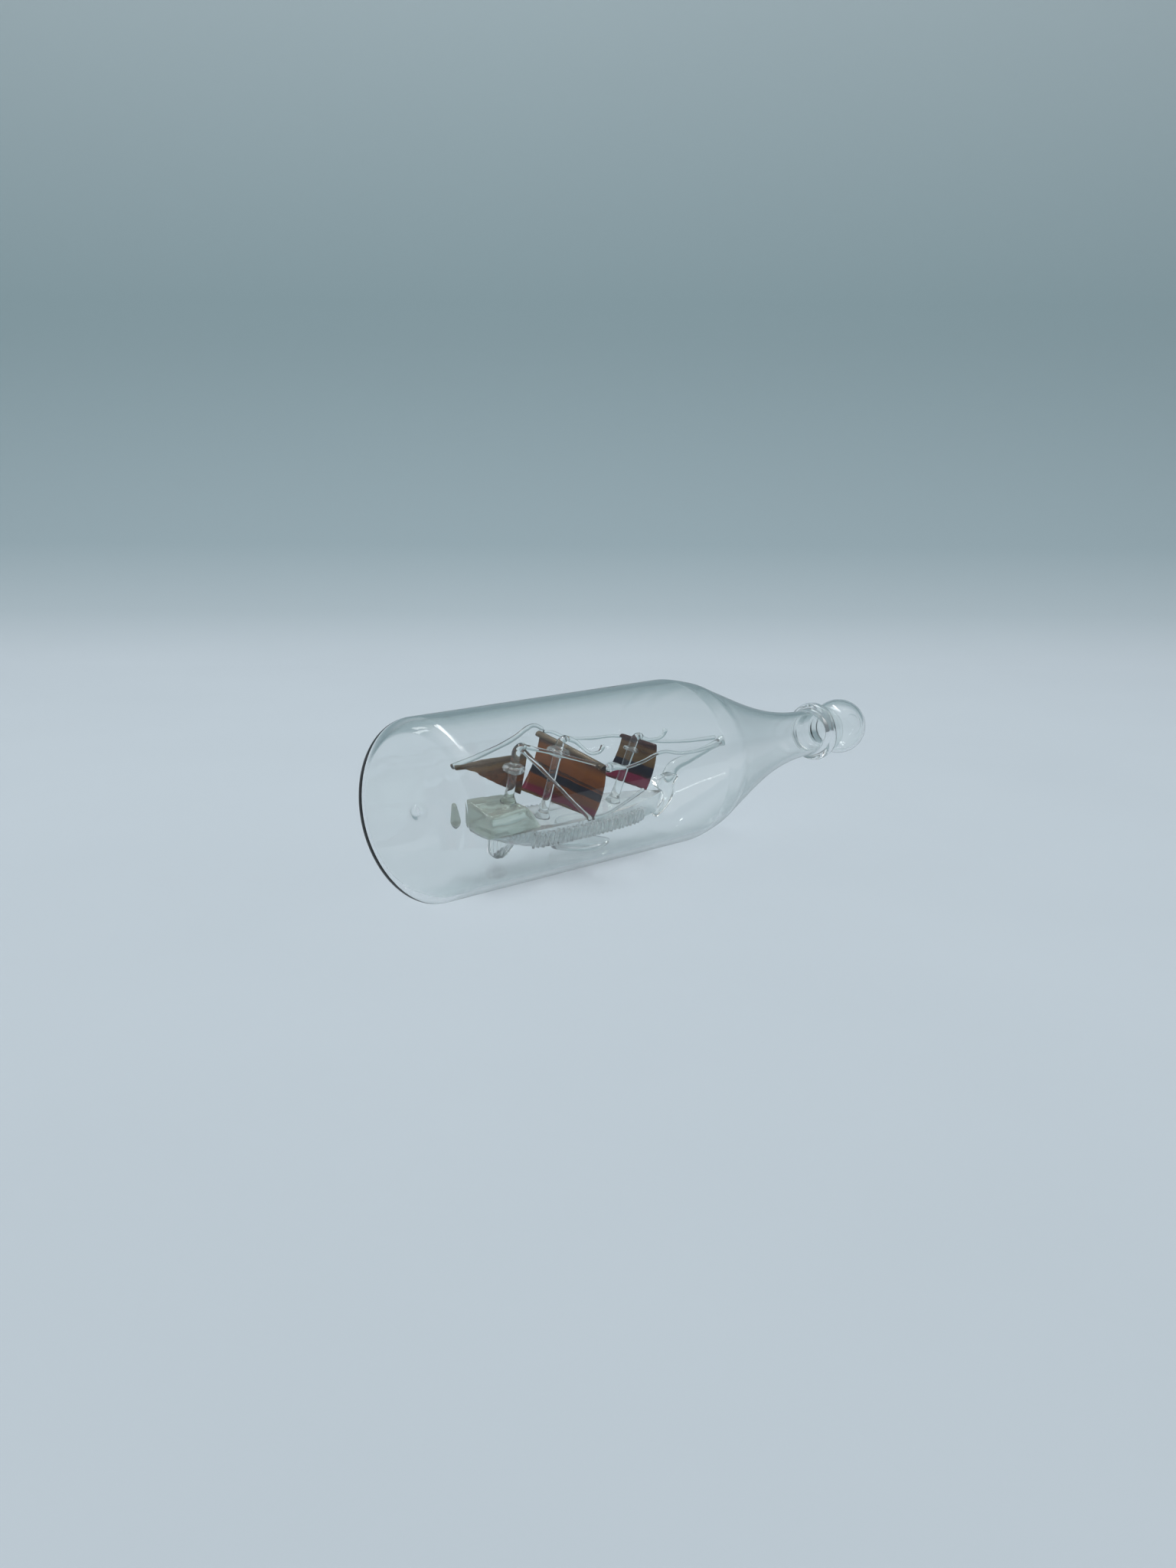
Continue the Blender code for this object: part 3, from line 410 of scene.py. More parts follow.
# Main sail: the navy bands from 0.27 to 0.36 are painted reflection of dark surroundings, the near-black line
# from 0.76 to 0.83 is painted shade under the rolled head, and the grey-tan band from 0.87 to 0.94 is a
# painted highlight on the roll.
AMBER_GLASS = LustreGlass(
    "amber_lustre", lines=(1.0, 0.3, 1.0),
    bands=((0.0, (0.20, 0.14, 0.05)), (0.02, (0.15, 0.04, 0.03)), (0.04, (0.22, 0.018, 0.05)),
           (0.10, (0.20, 0.018, 0.045)), (0.13, (0.20, 0.06, 0.02)), (0.24, (0.27, 0.078, 0.018)),
           (0.27, (0.012, 0.012, 0.026)), (0.36, (0.014, 0.015, 0.034)), (0.38, (0.22, 0.062, 0.016)),
           (0.42, (0.06, 0.018, 0.012)), (0.44, (0.28, 0.08, 0.017)), (0.60, (0.36, 0.108, 0.02)),
           (0.70, (0.27, 0.088, 0.022)), (0.76, (0.10, 0.03, 0.02)), (0.79, (0.012, 0.010, 0.014)),
           (0.83, (0.03, 0.02, 0.02)), (0.87, (0.24, 0.17, 0.11)), (0.94, (0.28, 0.22, 0.15)),
           (1.0, (0.09, 0.06, 0.045))))
# Fore sail: the navy bands from 0.25 to 0.38 are painted reflection of dark surroundings.
FORE_GLASS = LustreGlass(
    "amber_fore", lines=(1.0, 0.3, 1.0),
    bands=((0.0, (0.14, 0.03, 0.03)), (0.05, (0.25, 0.016, 0.06)), (0.18, (0.28, 0.02, 0.075)),
           (0.21, (0.07, 0.012, 0.02)), (0.25, (0.012, 0.013, 0.03)), (0.38, (0.015, 0.016, 0.038)),
           (0.41, (0.20, 0.11, 0.042)), (0.58, (0.27, 0.155, 0.06)), (0.66, (0.19, 0.085, 0.03)),
           (0.70, (0.26, 0.145, 0.06)), (0.77, (0.12, 0.03, 0.028)), (0.88, (0.09, 0.022, 0.026)),
           (1.0, (0.06, 0.03, 0.03))))
AFTER_GLASS = LustreGlass(
    "amber_after", lines=(0.3, 1.0, 1.0), heights=(20.5 * MM, 31.6 * MM),
    bands=((0.0, (0.12, 0.035, 0.02)), (0.10, (0.20, 0.12, 0.045)), (0.22, (0.08, 0.025, 0.018)),
           (0.32, (0.22, 0.07, 0.025)), (0.50, (0.24, 0.085, 0.028)), (0.62, (0.14, 0.05, 0.02)),
           (0.74, (0.24, 0.13, 0.045)), (0.84, (0.12, 0.065, 0.028)), (0.90, (0.22, 0.165, 0.11)),
           (1.0, (0.26, 0.21, 0.15))))
PALE_SWEEP = Matt("pale_sweep", floor=(0.525, 0.595, 0.65), rise=0.36, glow=0.5, backdrop=(
    (0.05, (0.41, 0.49, 0.535)), (0.14, (0.31, 0.40, 0.44)), (0.5, (0.265, 0.36, 0.39)),
    (1.0, (0.37, 0.455, 0.485))))


class Bench:
    """Modelling steps shared by the pieces, each done with Blender's own operators."""

    @staticmethod
    def clear() -> None:
        """Deselect everything before a new piece is started."""
        bpy.ops.object.select_all(action="DESELECT")

    @staticmethod
    def named(name: str) -> bpy.types.Object:
        """Name the primitive that was just added."""
        piece = bpy.context.object
        piece.name = name
        piece.data.name = name
        return piece

    @staticmethod
    def edit(piece: bpy.types.Object) -> None:
        """Open a piece in edit mode, with nothing selected."""
        bpy.context.view_layer.objects.active = piece
        bpy.ops.object.mode_set(mode="EDIT")
        bpy.ops.mesh.select_mode(type="VERT")
        bpy.ops.mesh.select_all(action="DESELECT")

    @staticmethod
    def close() -> None:
        """Merge doubles, turn the faces outwards and leave edit mode."""
        bpy.ops.mesh.select_all(action="SELECT")
        bpy.ops.mesh.remove_doubles(threshold=MERGE)
        bpy.ops.mesh.normals_make_consistent(inside=False)
        bpy.ops.object.mode_set(mode="OBJECT")

    @staticmethod
    def groups(piece: bpy.types.Object, axis: int) -> list[list[int]]:
        """Vertices in rows across one axis.

        Args:
            piece: Piece in object mode.
            axis: 0, 1 or 2 for X, Y or Z.

        Returns:
            The vertices' numbers, one list for each place along the axis, in order.
        """
        rows: dict[int, list[int]] = {}
        for vert in piece.data.vertices:
            rows.setdefault(round(vert.co[axis] / MERGE), []).append(vert.index)
        return [rows[key] for key in sorted(rows)]

    @staticmethod
    def pick(piece: bpy.types.Object, chosen: Sequence[int]) -> None:
        """Select vertices by number.

        Args:
            piece: Piece in edit mode.
            chosen: Numbers of its vertices.
        """
        mesh = bmesh.from_edit_mesh(piece.data)
        mesh.verts.ensure_lookup_table()
        wanted = set(chosen)
        for face in mesh.faces:
            face.select_set(False)
        for edge in mesh.edges:
            edge.select_set(False)
        for vert in mesh.verts:
            vert.select_set(vert.index in wanted)
        mesh.select_flush_mode()
        bmesh.update_edit_mesh(piece.data)

    @staticmethod
    def point(name: str, place: Vector) -> bpy.types.Object:
        """Start a piece from one vertex, in edit mode.

        Args:
            name: Name of the piece.
            place: Where the vertex is.

        Returns:
            The piece, its vertex selected.
        """
        Bench.clear()
        bpy.ops.mesh.primitive_plane_add(size=MM, location=(0.0, 0.0, 0.0))
        piece = Bench.named(name)
        Bench.edit(piece)
        bpy.ops.mesh.select_all(action="SELECT")
        bpy.ops.mesh.merge(type="CENTER")
        bpy.ops.transform.translate(value=place)
        return piece

    @staticmethod
    def extrude_through(points: Sequence[Vector]) -> None:
        """Extrude the selection from the first of some points through the others."""
        for before, after in zip(points, points[1:]):
            bpy.ops.mesh.extrude_region_move(TRANSFORM_OT_translate={"value": after - before})

    @staticmethod
    def turned(name: str, profile: Sequence[tuple[float, float]], steps: int) -> bpy.types.Object:
        """Spin a profile round the X axis.

        Args:
            name: Name of the piece.
            profile: Distances along the axis with radii; both ends lie on the axis.
            steps: Number of steps in the turn.

        Returns:
            The turned piece.
        """
        points = [Vector((along, 0.0, radius)) for along, radius in profile]
        piece = Bench.point(name, points[0])
        Bench.extrude_through(points)
        bpy.ops.mesh.select_all(action="SELECT")
        bpy.ops.mesh.spin(steps=steps, angle=math.tau, center=(0.0, 0.0, 0.0), axis=(1.0, 0.0, 0.0))
        Bench.close()
        return piece

    @staticmethod
    def drawn(name: str, route: Route, sides: int = 4) -> bpy.types.Object:
        """Draw a round rod of changing thickness, with round ends.

        Args:
            name: Name of the piece.
            route: Places with the rod's radius there.
            sides: Bevel resolution of the rod.

        Returns:
            The rod as a mesh.
        """
        Bench.clear()
        bpy.ops.curve.primitive_bezier_curve_add(location=(0.0, 0.0, 0.0))
        piece = Bench.named(name)
        curve = piece.data
        curve.bevel_depth = MM
        curve.bevel_resolution = sides
        curve.resolution_u = 6
        curve.use_fill_caps = True
        knots = Bench.with_round_ends(route)
        spline = curve.splines[0]
        spline.bezier_points.add(len(knots) - len(spline.bezier_points))
        for knot, (place, radius) in zip(spline.bezier_points, knots):
            knot.co = place
            knot.radius = radius / curve.bevel_depth
            knot.handle_left_type = "AUTO"
            knot.handle_right_type = "AUTO"
        bpy.ops.object.convert(target="MESH")
        piece = bpy.context.object
        Bench.edit(piece)
        Bench.close()
        return piece

    @staticmethod
    def with_round_ends(route: Route) -> list[tuple[Vector, float]]:
        """Add the narrowing points of a melted end to both ends of a route."""
        first, second = route[0], route[1]
        last, before = route[-1], route[-2]
        out = (first[0] - second[0]).normalized()
        on = (last[0] - before[0]).normalized()
        start = [(first[0] + out * first[1] * reach, first[1] * share)
                 for reach, share in ((0.75, 0.25), (0.6, 0.62), (0.3, 0.9))]
        end = [(last[0] + on * last[1] * reach, last[1] * share)
               for reach, share in ((0.3, 0.9), (0.6, 0.62), (0.75, 0.25))]
        return start + list(route) + end

    @staticmethod
    def plate(name: str, outline: Sequence[Vector], thickness: float, edge: float) -> bpy.types.Object:
        """Cut a plate with melted edges from an outline in a plane.

        Args:
            name: Name of the piece.
            outline: Points round the plate.
            thickness: Its thickness.
            edge: Radius of its edges.

        Returns:
            The plate.
        """
        piece = Bench.point(name, outline[0])
        Bench.extrude_through(outline)
        bpy.ops.mesh.select_all(action="SELECT")
        bpy.ops.mesh.edge_face_add()
        Bench.close()
        Bench.modify(piece, "SOLIDIFY", thickness=thickness, offset=0.0)
        Bench.melt(piece, edge, 4, 50.0)
        return piece

    @staticmethod
    def modify(piece: bpy.types.Object, kind: str, **settings: Any) -> None:
        """Add a modifier and apply it.

        Args:
            piece: Piece in object mode.
            kind: The modifier's type.
            **settings: Its properties.
        """
        Bench.clear()
        bpy.context.view_layer.objects.active = piece
        piece.select_set(True)
        modifier = piece.modifiers.new(kind.title(), kind)
        for key, value in settings.items():
            setattr(modifier, key, value)
        bpy.ops.object.modifier_apply(modifier=modifier.name)

    @staticmethod
    def melt(piece: bpy.types.Object, width: float, segments: int, sharp: float) -> None:
        """Round the edges that are sharper than an angle.

        Args:
            piece: Piece in object mode.
            width: Width of the rounding.
            segments: Number of its facets.
            sharp: The angle, in degrees.
        """
        Bench.modify(piece, "BEVEL", width=width, segments=segments, limit_method="ANGLE",
                     angle_limit=math.radians(sharp))

    @staticmethod
    def uneven(piece: bpy.types.Object, size: float, depth: float) -> None:
        """Give a piece the slight unevenness of hot-worked glass.

        Args:
            piece: Piece in object mode.
            size: Size of the lumps.
            depth: Height of the lumps.
        """
        texture = bpy.data.textures.new(piece.name + "_lumps", "CLOUDS")
        texture.noise_scale = size
        texture.noise_depth = 1
        Bench.modify(piece, "DISPLACE", texture=texture, texture_coords="LOCAL", strength=depth,
                     mid_level=0.5)

    @staticmethod
    def settle(piece: bpy.types.Object, place: Matrix, crease: Optional[float] = None) -> None:
        """Set a piece in its place, leave its object at the origin and shade it smooth.

        Args:
            piece: Piece in object mode.
            place: Where its own frame lies.
            crease: Angle above which edges stay sharp, or None for none.
        """
        Bench.clear()
        bpy.context.view_layer.objects.active = piece
        piece.select_set(True)
        piece.matrix_world = place @ piece.matrix_world
        bpy.ops.object.transform_apply(location=True, rotation=True, scale=True)
        if crease is None:
            bpy.ops.object.shade_smooth()
        else:
            bpy.ops.object.shade_smooth_by_angle(angle=crease)


def smooth_ring(points: Sequence[Vector], steps: int) -> list[Vector]:
    """Points on a smooth closed curve through some places.

    Args:
        points: Places to pass through.
        steps: Points for each span.

    Returns:
        The curve's points.
    """
    count = len(points)
    made = []
    for i in range(count):
        a, b, c, d = (points[(i + k) % count] for k in (-1, 0, 1, 2))
        for k in range(steps):
            t = k / steps
            made.append(0.5 * (2.0 * b + (c - a) * t + (2.0 * a - 5.0 * b + 4.0 * c - d) * t ** 2
                               + (3.0 * b - a - 3.0 * c + d) * t ** 3))
    return made


class SubAssembly:
    """Pieces of glass that ride on one body of the part.

    Attributes:
        body: Body that they ride on.
        passes_light: Whether they are hidden from shadow and diffuse rays, so that light reaches the ship.
    """

    body: Body = Body.BOTTLE
    passes_light: bool = False

    def dress(self, piece: bpy.types.Object, finish: Glass, *nodes: str) -> None:
        """Finish a piece and set it over the nodes it stands for.

        Args:
            piece: Finished mesh in its place.
            finish: Its glass.
            *nodes: Nodes of the part that it stands for.
        """
        piece.data.materials.clear()
        piece.data.materials.append(finish.make())
        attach(piece, self.body.value)
        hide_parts(*nodes)
        piece.visible_shadow = piece.visible_diffuse = not self.passes_light
        LOG.info("%s: %d faces, stands for %s", piece.name, len(piece.data.polygons), ", ".join(nodes))

    def fuse(self, piece: bpy.types.Object, finish: Glass, node: str, crease: Optional[float] = None) -> None:
        """Set a piece of the ship in its place and dress it.

        Args:
            piece: Finished mesh in the ship's frame.
            finish: Its glass.
            node: Node of the part that it stands for.
            crease: Angle in degrees above which edges stay sharp, or None for none.
        """
        Bench.settle(piece, SHIP_FRAME, None if crease is None else math.radians(crease))
        self.dress(piece, finish, node)


@dataclass
class Bottle(SubAssembly):
    """The bottle, blown and fused as one body of glass: base, tube, shoulder, neck and collar.

    Attributes:
        radius: Outer radius of the tube.
        wall: Thickness of the tube.
        tube: Base plane to the start of the shoulder.
        shoulder: Length of the shoulder.
        bend: Below 1 the shoulder falls away early.
        neck: Outer radius of the neck.
        neck_wall: Thickness of the neck.
        mouth: Base plane to the mouth.
        collar: Outer radius of the collar.
        collar_middle: Base plane to the collar's middle.
        collar_width: Width of the collar at the neck.
        base: Thickness of the base.
        heel: Radius of the base's outer edge.
        fillet: Radius of the corner inside, between the base and the tube.
        ring: Radius of the flat ring's inner edge.
        dish: Depth of the dished base.
        pip: Radius of the pip in the base.
        seam: Height of the ring where the shoulder was drawn from the tube.
        seam_at: Share of the shoulder at which that ring lies.
        seam_spread: Share of the shoulder that it fades over.
        steps: Steps round the bottle.
    """

    passes_light: bool = True
    radius: float = 22.0 * MM
    wall: float = 1.3 * MM
    tube: float = 88.4 * MM
    shoulder: float = 62.4 * MM
    bend: float = 0.75
    neck: float = 6.6 * MM
    neck_wall: float = 1.1 * MM
    mouth: float = 160.9 * MM
    collar: float = 8.5 * MM
    collar_middle: float = 154.5 * MM
    collar_width: float = 3.4 * MM
    base: float = 1.4 * MM
    heel: float = 3.2 * MM
    fillet: float = 2.6 * MM
    ring: float = 15.8 * MM
    dish: float = 0.9 * MM
    pip: float = 1.7 * MM
    seam: float = 0.2 * MM
    seam_at: float = 0.14
    seam_spread: float = 0.045
    steps: int = 128

    def shoulder_radius(self, share: float) -> float:
        """Outer radius along the shoulder, from 0 at the tube to 1 at the neck."""
        fall = 0.5 * (1.0 + math.cos(math.pi * share ** self.bend))
        seam = self.seam * math.exp(-((share - self.seam_at) / self.seam_spread) ** 2)
        return self.neck + (self.radius - self.neck) * fall + seam

    def outer(self) -> list[tuple[float, float]]:
        """Outer profile from the middle of the base to the mouth.

        Returns:
            Distances along the axis with radii.
        """
        pip_top = 0.05 * self.dish
        profile = [(pip_top, 0.0), (pip_top, 0.35 * self.pip), (0.5 * self.dish, 0.75 * self.pip),
                   (0.92 * self.dish, 1.1 * self.pip)]
        for i in range(1, 12):
            share = i / 12
            radius = 1.1 * self.pip + (self.ring - 1.1 * self.pip) * share
            profile.append((self.dish * (1.0 - share ** 2.5), radius))
        standing = self.radius - self.heel
        profile += [(0.02 * self.dish, self.ring), (0.0, 0.5 * (self.ring + standing))]
        for i in range(9):
            angle = math.radians(90.0 * i / 8)
            profile.append((self.heel * (1.0 - math.cos(angle)), standing + self.heel * math.sin(angle)))
        profile += [(self.tube * share, self.radius) for share in (0.1, 0.3, 0.5, 0.7, 0.85)]
        for i in range(81):
            share = i / 80
            profile.append((self.tube + self.shoulder * share, self.shoulder_radius(share)))
        for i in range(13):
            angle = math.radians(-80.0 + 160.0 * i / 12)
            profile.append((self.collar_middle + 0.5 * self.collar_width * math.sin(angle),
                            self.neck + (self.collar - self.neck) * math.cos(angle) ** 0.8))
        profile.append((self.collar_middle + 0.62 * self.collar_width, self.neck))
        lip = 0.5 * self.neck_wall
        for i in range(7):
            angle = math.radians(180.0 * i / 6)
            profile.append((self.mouth - lip + lip * math.sin(angle),
                            self.neck - lip + lip * math.cos(angle)))
        return profile

    def inner(self) -> list[tuple[float, float]]:
        """Inner profile from the mouth back to the middle of the base.

        Returns:
            Distances along the axis with radii.
        """
        profile = []
        for i in range(80, -1, -1):
            share = i / 80
            wall = self.wall + (self.neck_wall - self.wall) * share
            profile.append((self.tube + self.shoulder * share, self.shoulder_radius(share) - wall))
        inside = self.radius - self.wall
        profile += [(self.tube * share, inside) for share in (0.85, 0.7, 0.5, 0.3, 0.1)]
        for i in range(9):
            angle = math.radians(90.0 * i / 8)
            profile.append((self.base + self.fillet * (1.0 - math.sin(angle)),
                            inside - self.fillet * (1.0 - math.cos(angle))))
        floor = inside - self.fillet
        for i in range(1, 13):
            share = i / 12
            profile.append((self.base + self.dish * (1.0 - (1.0 - share) ** 2.0), floor * (1.0 - share)))
        return profile

    def build(self) -> None:
        """Turn the bottle and dress it."""
        piece = Bench.turned("bottle", self.outer() + self.inner(), self.steps)
        Bench.settle(piece, BOTTLE_FRAME)
        self.dress(piece, BOTTLE_GLASS, "bottle_body", "bottle_base", "neck_collar")


@dataclass
class Stopper(SubAssembly):
    """The hollow blown ball with its open plug and the ring of its seal.

    Attributes:
        centre: Base plane to the ball's centre.
        ball: Outer radius of the ball.
        wall: Thickness of the glass.
        plug: Outer radius of the plug.
        plug_end: Base plane to the plug's end.
        seal: Radius of the seal's ring on the ball's tip.
        seal_height: Height of that ring.
        steps: Steps round the ball.
    """

    body: Body = Body.STOPPER
    passes_light: bool = True
    centre: float = 167.4161 * MM
    ball: float = 8.3 * MM
    wall: float = 0.9 * MM
    plug: float = 5.2 * MM
    plug_end: float = 157.6 * MM
    seal: float = 3.4 * MM
    seal_height: float = 0.22 * MM
    steps: int = 96

    def profile(self) -> list[tuple[float, float]]:
        """Profile from the ball's tip round its outside, along the plug and back inside.

        Returns:
            Distances along the axis with radii.
        """
        outer_stop = math.pi - math.asin(self.plug / self.ball)
        inner_ball = self.ball - self.wall
        bore = self.plug - self.wall
        inner_stop = math.pi - math.asin(bore / inner_ball)
        points = []
        for i in range(41):
            angle = outer_stop * (i / 40) ** 1.2
            bump = self.seal_height * math.exp(-((self.ball * math.sin(angle) - self.seal) / (0.5 * MM)) ** 2)
            radius = self.ball + (bump if angle < 1.0 else 0.0) - self.seal_height
            points.append((self.centre + radius * math.cos(angle), radius * math.sin(angle)))
        lip = 0.5 * self.wall
        for i in range(5):
            angle = math.radians(180.0 * i / 4)
            points.append((self.plug_end + lip - lip * math.sin(angle),
                           self.plug - lip + lip * math.cos(angle)))
        for i in range(33):
            angle = inner_stop * (1.0 - i / 32)
            points.append((self.centre + inner_ball * math.cos(angle), inner_ball * math.sin(angle)))
        return points

    def build(self) -> None:
        """Turn the stopper and dress it."""
        piece = Bench.turned("stopper", self.profile(), self.steps)
        Bench.settle(piece, BOTTLE_FRAME)
        self.dress(piece, STOPPER_GLASS, "ball_stopper")


@dataclass
class Hull(SubAssembly):
    """The solid hull with its stern block, crimped sides, bow blade, spar and feet.

    Attributes:
        length: Transom to bow.
        half_beam: Half the greatest width.
        depth: Deck to keel.
        widest: Share of the length at which the hull is widest.
        castle_length: Length of the stern block at the deck.
        castle_top: Length of its top.
        castle_half_width: Half its width.
        castle_height: Its height.
        rail_start: Transom to the crimped sides.
        rail_length: Length of the crimped sides.
        rail_height: Height of the crimped sides.
        rail_thickness: Thickness of the crimped strip.
        crimp: Half the depth of one crimp.
        crimps: Number of crimps on a side.
        stem_thickness: Thickness of the bow blade.
        stem_width: Width of the bow blade, fore and aft.
        stem_rise: Deck to the top of the blade.
        stem_drop: Deck to its lower tip.
        spar: Radius of the bow spar.
        spar_length: Reach of the spar ahead of the blade.
        spar_rise: Rise of the spar.
        eye: Radius of the bead at its tip.
        castle_aft: How far the stern block stands out behind the transom.
        pad: Half length, half width and thickness of the leaf-shaped pad.
        pad_place: Middle of that pad.
        pad_turn: Its turn about the upright.
        shell: Width and thickness of the ribbed pad, and half the depth of its ribs.
        shell_place: Middle of that pad, forward and to the far side.
        shell_span: Heights of its lower and upper edges.
    """

    length: float = 67.4 * MM
    half_beam: float = 6.2 * MM
    depth: float = 8.7 * MM
    widest: float = 0.42
    castle_length: float = 19.0 * MM
    castle_top: float = 13.0 * MM
    castle_half_width: float = 5.9 * MM
    castle_height: float = 6.3 * MM
    rail_start: float = 13.5 * MM
    rail_length: float = 43.0 * MM
    rail_height: float = 3.6 * MM
    rail_thickness: float = 0.9 * MM
    crimp: float = 0.5 * MM
    crimps: int = 26
    stem_thickness: float = 1.8 * MM
    stem_width: float = 5.2 * MM
    stem_rise: float = 4.2 * MM
    stem_drop: float = 7.6 * MM
    spar: float = 1.1 * MM
    spar_length: float = 20.4 * MM
    spar_rise: float = 7.0 * MM
    eye: float = 1.6 * MM
    castle_aft: float = 0.6 * MM
    pad: tuple[float, float, float] = (9.0 * MM, 4.0 * MM, 1.6 * MM)
    pad_place: tuple[float, float, float] = (38.9 * MM, -0.5 * MM, -19.0 * MM)
    pad_turn: float = math.radians(-12.5)
    shell: tuple[float, float, float] = (8.8 * MM, 0.9 * MM, 0.5 * MM)
    shell_place: tuple[float, float] = (12.8 * MM, 2.8 * MM)
    shell_span: tuple[float, float] = (-19.3 * MM, DECK - 4.6 * MM)

    def beam_at(self, x: float) -> float:
        """Half the hull's width at the deck."""
        middle = self.widest * self.length
        if x < middle:
            return self.half_beam * (1.0 - 0.18 * (1.0 - x / middle) ** 2)
        return self.half_beam * (1.0 - 0.93 * ((x - middle) / (self.length - middle)) ** 2.6)

    def depth_at(self, x: float) -> float:
        """Depth from the deck to the keel."""
        middle = self.widest * self.length
        if x < middle:
            return self.depth * (1.0 - 0.95 * (1.0 - x / middle) ** 1.6)
        return self.depth * (1.0 - 0.25 * ((x - middle) / (self.length - middle)) ** 2)

    def eye_centre(self) -> Vector:
        """Centre of the bead at the spar's tip."""
        return self.spar_root() + Vector((self.spar_length, 0.0, self.spar_rise))

    def spar_root(self) -> Vector:
        """Where the spar leaves the top of the bow blade."""
        return Vector((self.length + 0.45 * self.stem_width, 0.0, DECK + self.stem_rise + 0.3 * MM))

    def build_body(self) -> None:
        """Extrude the hull from its transom, station by station."""
        Bench.clear()
        bpy.ops.mesh.primitive_circle_add(vertices=36, radius=1.0, fill_type="NGON",
                                          rotation=(0.0, math.pi / 2.0, 0.0))
        piece = Bench.named("ship_hull")
        bpy.ops.object.transform_apply(location=False, rotation=True, scale=False)
        upper = [vert.index for vert in piece.data.vertices if vert.co.z > 0.0]
        Bench.edit(piece)
        Bench.pick(piece, upper)
        bpy.ops.transform.resize(value=(1.0, 1.0, 0.0), center_override=(0.0, 0.0, 0.0))
        bpy.ops.mesh.select_all(action="SELECT")
        stations = [self.length * (1.0 - (1.0 - i / 22) ** 1.3) for i in range(23)]
        sizes = [(self.beam_at(x), self.depth_at(x)) for x in stations]
        bpy.ops.transform.resize(value=(1.0, *sizes[0]), center_override=(0.0, 0.0, 0.0))
        bpy.ops.transform.translate(value=(0.0, 0.0, DECK))
        for i in range(1, len(stations)):
            x = stations[i]
            bpy.ops.mesh.extrude_region_move(
                TRANSFORM_OT_translate={"value": (x - stations[i - 1], 0.0, 0.0)})
            ratio = (1.0, sizes[i][0] / sizes[i - 1][0], sizes[i][1] / sizes[i - 1][1])
            bpy.ops.transform.resize(value=ratio, center_override=(x, 0.0, DECK))
        Bench.close()
        Bench.melt(piece, 0.5 * MM, 3, 50.0)
        self.fuse(piece, MILKY_GLASS, "hull", crease=40.0)

    def build_castle(self) -> None:
        """Shape the stern block from a cube, slope its front and melt its edges."""
        Bench.clear()
        bpy.ops.mesh.primitive_cube_add(size=1.0, location=(0.5, 0.0, 0.5))
        piece = Bench.named("ship_stern_castle")
        bpy.ops.object.transform_apply(location=True, rotation=False, scale=False)
        front_top = [v.index for v in piece.data.vertices if v.co.x > 0.5 and v.co.z > 0.5]
        front = [v.index for v in piece.data.vertices if v.co.x > 0.5]
        Bench.edit(piece)
        bpy.ops.mesh.select_all(action="SELECT")
        size = (self.castle_length, 2.0 * self.castle_half_width, self.castle_height)
        bpy.ops.transform.resize(value=size, center_override=(0.0, 0.0, 0.0))
        bpy.ops.transform.translate(value=(-self.castle_aft, 0.0, DECK - 0.1 * MM))
        Bench.pick(piece, front)
        bpy.ops.transform.resize(value=(1.0, 0.9, 1.0), center_override=(0.0, 0.0, 0.0))
        Bench.pick(piece, front_top)
        bpy.ops.transform.translate(value=(self.castle_top - self.castle_length, 0.0, 0.0))
        bpy.ops.mesh.select_all(action="SELECT")
        bpy.ops.mesh.subdivide(number_cuts=3)
        Bench.close()
        Bench.melt(piece, 1.0 * MM, 4, 30.0)
        Bench.modify(piece, "SUBSURF", levels=2, render_levels=2)
        Bench.uneven(piece, 5.0 * MM, 0.5 * MM)
        self.fuse(piece, GREEN_GLASS, "stern_castle")

    def build_rail(self, side: Side, node: str) -> None:
        """Extrude a strip in and out along one side and round its crimps.

        Args:
            side: Side of the hull.
            node: Node that the strip stands for.
        """
        outset = 0.5 * self.rail_thickness + self.crimp
        stops = []
        for i in range(2 * self.crimps + 1):
            share = i / (2 * self.crimps)
            x = self.rail_start + self.rail_length * share
            wave = self.crimp if i % 2 == 0 else -self.crimp
            low = DECK - 0.4 * MM - 0.6 * MM * share - self.rail_height
            stops.append(Vector((x, side.value * (self.beam_at(x) + outset + 1.4 * wave), low)))
        piece = Bench.point("ship_" + node, stops[0])
        bpy.ops.mesh.extrude_region_move(TRANSFORM_OT_translate={"value": (0.0, 0.0, self.rail_height)})
        bpy.ops.mesh.select_all(action="SELECT")
        Bench.extrude_through(stops)
        Bench.close()
        Bench.modify(piece, "SOLIDIFY", thickness=self.rail_thickness, offset=0.0)
        Bench.melt(piece, 0.25 * MM, 2, 75.0)
        Bench.modify(piece, "SUBSURF", levels=2, render_levels=2)
        Bench.uneven(piece, 2.2 * MM, 0.5 * MM)
        self.fuse(piece, CRIMPED_GLASS, node)

    def build_stem(self) -> None:
        """Cut the crescent bow blade and melt its edges."""
        aft, top, tip = self.length, DECK + self.stem_rise, DECK - self.stem_drop
        fore = aft + self.stem_width
        knots = [(aft - 0.6 * self.stem_width, top),
                 (aft - 0.4 * self.stem_width, DECK + 0.35 * self.stem_rise),
                 (aft, DECK), (aft + 0.3 * self.stem_width, DECK - 0.45 * self.stem_drop),
                 (aft, tip + 0.06 * self.stem_drop), (aft + 0.15 * self.stem_width, tip),
                 (fore - 0.25 * self.stem_width, DECK - 0.62 * self.stem_drop),
                 (fore, DECK - 0.2 * self.stem_drop),
                 (fore - 0.1 * self.stem_width, DECK + 0.35 * self.stem_rise), (fore, top)]
        outline = smooth_ring([Vector((x, 0.0, z)) for x, z in knots], 6)
        piece = Bench.plate("ship_stem_plate", outline, self.stem_thickness, 0.6 * MM)
        self.fuse(piece, CLEAR_GLASS, "stem_plate", crease=50.0)

